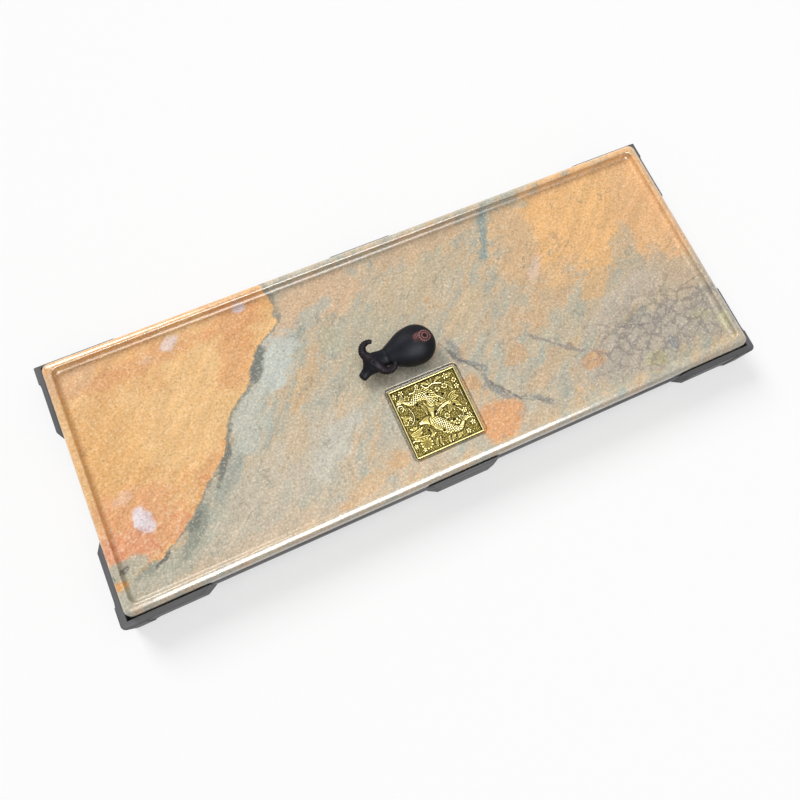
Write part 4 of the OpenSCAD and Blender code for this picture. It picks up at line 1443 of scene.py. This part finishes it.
@dataclass(frozen=True)
class Wood:
    """Sawn and sanded hardwood: long pores and growth rings that show as streaks in the stain."""

    name: str
    dark: str
    light: str
    roughness: tuple[float, float]
    grain: Grain

    def build(self, frame: Point = (602.5, 232.5)) -> bpy.types.Material:
        """Builds the material.

        Args:
            frame: Outer size of the base, whose diagonal lines part the grain of a mitred piece.

        Returns:
            The material.
        """
        material, shader, where = new_material(f"{self.name}_{self.grain.value}")
        tree = material.node_tree
        # growth rings 4 mm apart and pores 0.5 mm wide, both some hundred millimetres long
        sizes = {Grain.ALONG_X: (160, 4, 4), Grain.ALONG_Y: (4, 160, 4)}
        fields = []
        for way in (Grain.ALONG_X, Grain.ALONG_Y):
            along_it = add_node(
                tree, "ShaderNodeMapping", {"Vector": where, "Scale": sizes[way]}, vector_type="TEXTURE"
            )
            rings = add_node(
                tree,
                "ShaderNodeTexNoise",
                {"Vector": along_it.outputs[0], "Scale": 1, "Detail": 6, "Roughness": 0.65},
            )
            fields.append(rings.outputs[0])
        if self.grain is Grain.MITRED:
            parts = add_node(tree, "ShaderNodeSeparateXYZ", {0: where})
            left = []
            for axis, size in (("X", frame[0]), ("Y", frame[1])):
                away = add_node(tree, "ShaderNodeMath", {0: parts.outputs[axis]}, operation="ABSOLUTE")
                left.append(
                    add_node(
                        tree, "ShaderNodeMath", {0: size / 2, 1: away.outputs[0]}, operation="SUBTRACT"
                    )
                )
            side = add_node(
                tree,
                "ShaderNodeMath",
                {0: left[0].outputs[0], 1: left[1].outputs[0]},
                operation="LESS_THAN",
            )
            blended = add_node(
                tree, "ShaderNodeMix", {0: side.outputs[0], 2: fields[0], 3: fields[1]}, data_type="FLOAT"
            )
            streak = blended.outputs[0]
        else:
            streak = fields[0] if self.grain is Grain.ALONG_X else fields[1]
        colour = add_node(
            tree,
            "ShaderNodeValToRGB",
            {"Fac": streak},
            stops=((0.36, self.dark), (0.64, self.light)),
        )
        tree.links.new(colour.outputs[0], shader.inputs["Base Color"])
        low, high = self.roughness
        rough = add_node(tree, "ShaderNodeMapRange", {"Value": streak, 1: 0.3, 2: 0.7, 3: high, 4: low})
        tree.links.new(rough.outputs[0], shader.inputs["Roughness"])
        bump = add_node(tree, "ShaderNodeBump", {"Height": streak, "Strength": 0.35, "Distance": 0.0002})
        tree.links.new(bump.outputs[0], shader.inputs["Normal"])
        return material


@dataclass(frozen=True)
class Fitting:
    """A plain finish of the fittings, with a fine uneven surface."""

    name: str
    dark: str
    light: str
    roughness: tuple[float, float]
    grit: float
    metallic: float = 0
    ior: float = 1.5
    transmission: float = 0

    def build(self) -> bpy.types.Material:
        """Builds the material: a noise of the surface's grit moves its colour, gloss and height.

        Returns:
            The material.
        """
        material, shader, where = new_material(self.name)
        tree = material.node_tree
        noise = add_node(tree, "ShaderNodeTexNoise", {"Vector": where, "Scale": 1 / self.grit, "Detail": 4})
        colour = add_node(
            tree,
            "ShaderNodeValToRGB",
            {"Fac": noise.outputs[0]},
            stops=((0.35, self.dark), (0.65, self.light)),
        )
        tree.links.new(colour.outputs[0], shader.inputs["Base Color"])
        low, high = self.roughness
        rough = add_node(
            tree, "ShaderNodeMapRange", {"Value": noise.outputs[0], 1: 0.3, 2: 0.7, 3: low, 4: high}
        )
        tree.links.new(rough.outputs[0], shader.inputs["Roughness"])
        bump = add_node(
            tree, "ShaderNodeBump", {"Height": noise.outputs[0], "Strength": 0.15, "Distance": 0.0001}
        )
        tree.links.new(bump.outputs[0], shader.inputs["Normal"])
        shader.inputs["Metallic"].default_value = self.metallic
        shader.inputs["Transmission Weight"].default_value = self.transmission
        if not self.metallic:
            shader.inputs["IOR"].default_value = self.ior
        return material


@dataclass
class Base:
    """The wooden base, whose solids keep their shape and get their finishes here."""

    long_wood: tuple[str, ...] = ("front_rail", "back_rail", "front_middle_foot", "back_middle_foot")
    side_wood: tuple[str, ...] = ("left_rail", "right_rail")
    corner_wood: tuple[str, ...] = (
        "front_left_foot", "front_right_foot", "back_left_foot", "back_right_foot",
    )  # fmt: skip
    inner_wood: tuple[str, ...] = ("left_stretcher", "right_stretcher", "corner_splines")

    def dress(self) -> None:
        """Gives each wooden, rubber and steel piece of the base its finish."""
        for nodes, grain in (
            (self.long_wood, Grain.ALONG_X),
            (self.side_wood, Grain.ALONG_Y),
            (self.corner_wood, Grain.MITRED),
        ):
            # black stain on open-grained wood: nearly black, with the pores a little lighter
            dress(nodes, Wood("black_stained_wood", "#2a292c", "#4e4d50", (0.5, 0.68), grain).build())
        dress(self.inner_wood, Wood("oiled_wood", "#5e3f28", "#8d6a48", (0.5, 0.65), Grain.ALONG_Y).build())
        # moulded rubber: matt and dusty black
        rubber = Fitting("moulded_rubber_feet", "#191919", "#262626", (0.7, 0.85), 0.8)
        dress(("foot_pads",), rubber.build())
        # zinc plating: bright, slightly blue and cloudy
        zinc = Fitting("zinc_plated_steel", "#9b9ea3", "#b9bcc2", (0.3, 0.45), 1.5, 1)
        dress(("foot_screws",), zinc.build())
        # cast silicone: milky and half clear
        silicone = Fitting("cast_silicone", "#d9dddd", "#e6e9e9", (0.25, 0.35), 2, 0, 1.41, 0.5)
        dress(("slab_pads",), silicone.build())
        log.info("base: wood, rubber, steel and silicone dressed")


@dataclass
class DrainFitting:
    """The tailpiece, its seals and nut, and the swivelling elbow, dressed as they come from the CAD."""

    def dress(self) -> None:
        """Gives each piece of the drain its finish."""
        # turned brass: satin, with the tool's fine marks
        dress(("drain_flange",), Fitting("turned_brass", "#b0934a", "#cdb26a", (0.22, 0.36), 0.7, 1).build())
        rubber = Fitting("moulded_rubber_seals", "#1b1b1b", "#2a2a2a", (0.6, 0.78), 0.8).build()
        dress(("flange_gasket", "backing_washer", "elbow_o_ring"), rubber)
        # moulded nylon: warm white, silky from the mould
        nylon = Fitting("moulded_white_nylon", "#d9d6cc", "#e6e3da", (0.38, 0.5), 1.2, 0, 1.53).build()
        dress(("lock_nut", "outlet_elbow"), nylon)
        # rolled spring steel: bright and smooth
        dress(("elbow_clip",), Fitting("spring_steel", "#a9adb2", "#c3c6ca", (0.2, 0.3), 0.9, 1).build())
        log.info("drain fitting: brass, rubber, nylon and steel dressed")


# ---------------------------------------------------------------------------------------------------
# The studio
# ---------------------------------------------------------------------------------------------------


class LampKind(Enum):
    """How a lamp works, by Blender's name for it."""

    SUN = "SUN"
    SOFT_BOX = "AREA"


@dataclass(frozen=True)
class Lamp:
    """A lamp that faces the tray. A reflector only shows in reflections. The size is a sun's angle in
    radians or a soft box's sides in metres, and the power is in watts, for a sun by the square metre."""

    name: str
    kind: LampKind
    at: tuple[float, float, float]
    size: tuple[float, float]
    power: float
    reflector: bool = False

    def build(self) -> None:
        """Places the lamp and turns it to the middle of the tray."""
        light = bpy.data.lights.new(self.name, self.kind.value)
        light.energy = self.power
        if self.kind is LampKind.SUN:
            light.angle = self.size[0]
        else:
            light.shape, (light.size, light.size_y) = "RECTANGLE", self.size
        made = bpy.data.objects.new(self.name, light)
        away = Matrix.Translation(self.at).to_translation()
        made.location = away
        made.rotation_euler = away.to_track_quat("Z", "Y").to_euler()
        made.visible_diffuse = not self.reflector
        bpy.context.collection.objects.link(made)


@dataclass
class Studio:
    """Camera, lamps, white surroundings and floor."""

    lens: float = 30.6
    place: tuple[float, float, float] = (-0.12214, -0.16352, 0.61717)
    right: tuple[float, float, float] = (0.90995, -0.40989, 0.06310)
    up: tuple[float, float, float] = (0.38177, 0.88733, 0.25864)
    back: tuple[float, float, float] = (-0.16200, -0.21127, 0.96391)
    world_level: float = 0.42
    floor_glow: float = 0.6
    lamps: tuple[Lamp, ...] = (
        Lamp("window", LampKind.SUN, (-0.5, 1.3, 1.1), (0.5, 0.5), 2.4),
        Lamp("ceiling", LampKind.SOFT_BOX, (0.3, 0.2, 1.9), (1.0, 1.0), 3.6),
        Lamp("front_reflector", LampKind.SOFT_BOX, (0.015, -0.77, 1.17), (1.27, 1.05), 56, True),
    )

    def camera(self) -> None:
        """Places the camera that was fitted to the slab's corners in the photograph."""
        made = bpy.data.cameras.new("camera")
        made.lens, made.sensor_width, made.clip_start = self.lens, 36, 0.01
        camera = bpy.data.objects.new("camera", made)
        columns = [(*self.right, 0), (*self.up, 0), (*self.back, 0), (*self.place, 1)]
        camera.matrix_world = Matrix(columns).transposed()
        bpy.context.collection.objects.link(camera)
        bpy.context.scene.camera = camera

    def seen(self, tree: bpy.types.NodeTree, unseen: float, full: float) -> Socket:
        """A level for what the camera, reflections and glass show, and another for all other light.

        Args:
            tree: The node tree of the world or of the floor.
            unseen: Level for light that falls on things.
            full: Level for what is seen.

        Returns:
            The level.
        """
        rays = add_node(tree, "ShaderNodeLightPath", {})
        shown = rays.outputs["Is Camera Ray"]
        for kind in ("Is Glossy Ray", "Is Transmission Ray"):
            both = {0: shown, 1: rays.outputs[kind]}
            shown = add_node(tree, "ShaderNodeMath", both, operation="MAXIMUM").outputs[0]
        return add_node(tree, "ShaderNodeMapRange", {"Value": shown, 3: unseen, 4: full}).outputs[0]

    def world(self) -> None:
        """White to the camera, to reflections and through glass, and a plain level for the rest."""
        world = bpy.data.worlds.new("white_room")
        world.use_nodes = True
        tree = world.node_tree
        shader = next(n for n in tree.nodes if n.type == "BACKGROUND")
        tree.links.new(self.seen(tree, self.world_level, 1.0), shader.inputs["Strength"])
        shader.inputs["Color"].default_value = (1, 1, 1, 1)
        bpy.context.scene.world = world

    def floor(self) -> None:
        """A white floor. What is seen of it is partly its own white, so that it keeps a pale shadow."""
        side = 4000.0
        corners = np.array([(-side, -side, 0), (side, -side, 0), (side, side, 0), (-side, side, 0)])
        floor = mesh_object("floor", corners, [np.array([[0, 1, 2, 3]])])
        material, shader, _ = new_material("white_paper_floor")
        shader.inputs["Base Color"].default_value = linear("#fbfbfb")
        shader.inputs["Roughness"].default_value = 0.9
        shader.inputs["Specular IOR Level"].default_value = 0.1
        tree = material.node_tree
        glow = add_node(tree, "ShaderNodeEmission", {"Strength": 1.0})
        parts = {0: self.seen(tree, 0.0, self.floor_glow), 1: shader.outputs[0], 2: glow.outputs[0]}
        both = add_node(tree, "ShaderNodeMixShader", parts)
        output = next(n for n in tree.nodes if n.type == "OUTPUT_MATERIAL")
        tree.links.new(both.outputs[0], output.inputs["Surface"])
        floor.data.materials.append(material)

    def build(self) -> None:
        """Builds the studio and sets the plain view transform."""
        self.camera()
        for lamp in self.lamps:
            lamp.build()
        self.world()
        self.floor()
        bpy.context.scene.view_settings.view_transform = "Standard"
        log.info("studio: %d lamps", len(self.lamps))


def main() -> None:
    """Builds the tray's pieces in order and reports each of them."""
    logging.basicConfig(level=logging.INFO, format="%(name)s: %(message)s")
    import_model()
    Studio().build()
    StoneSlab().build()
    DrainCover().build()
    TeaPet().build()
    Base().dress()
    DrainFitting().dress()


if __name__ == "__main__":
    main()
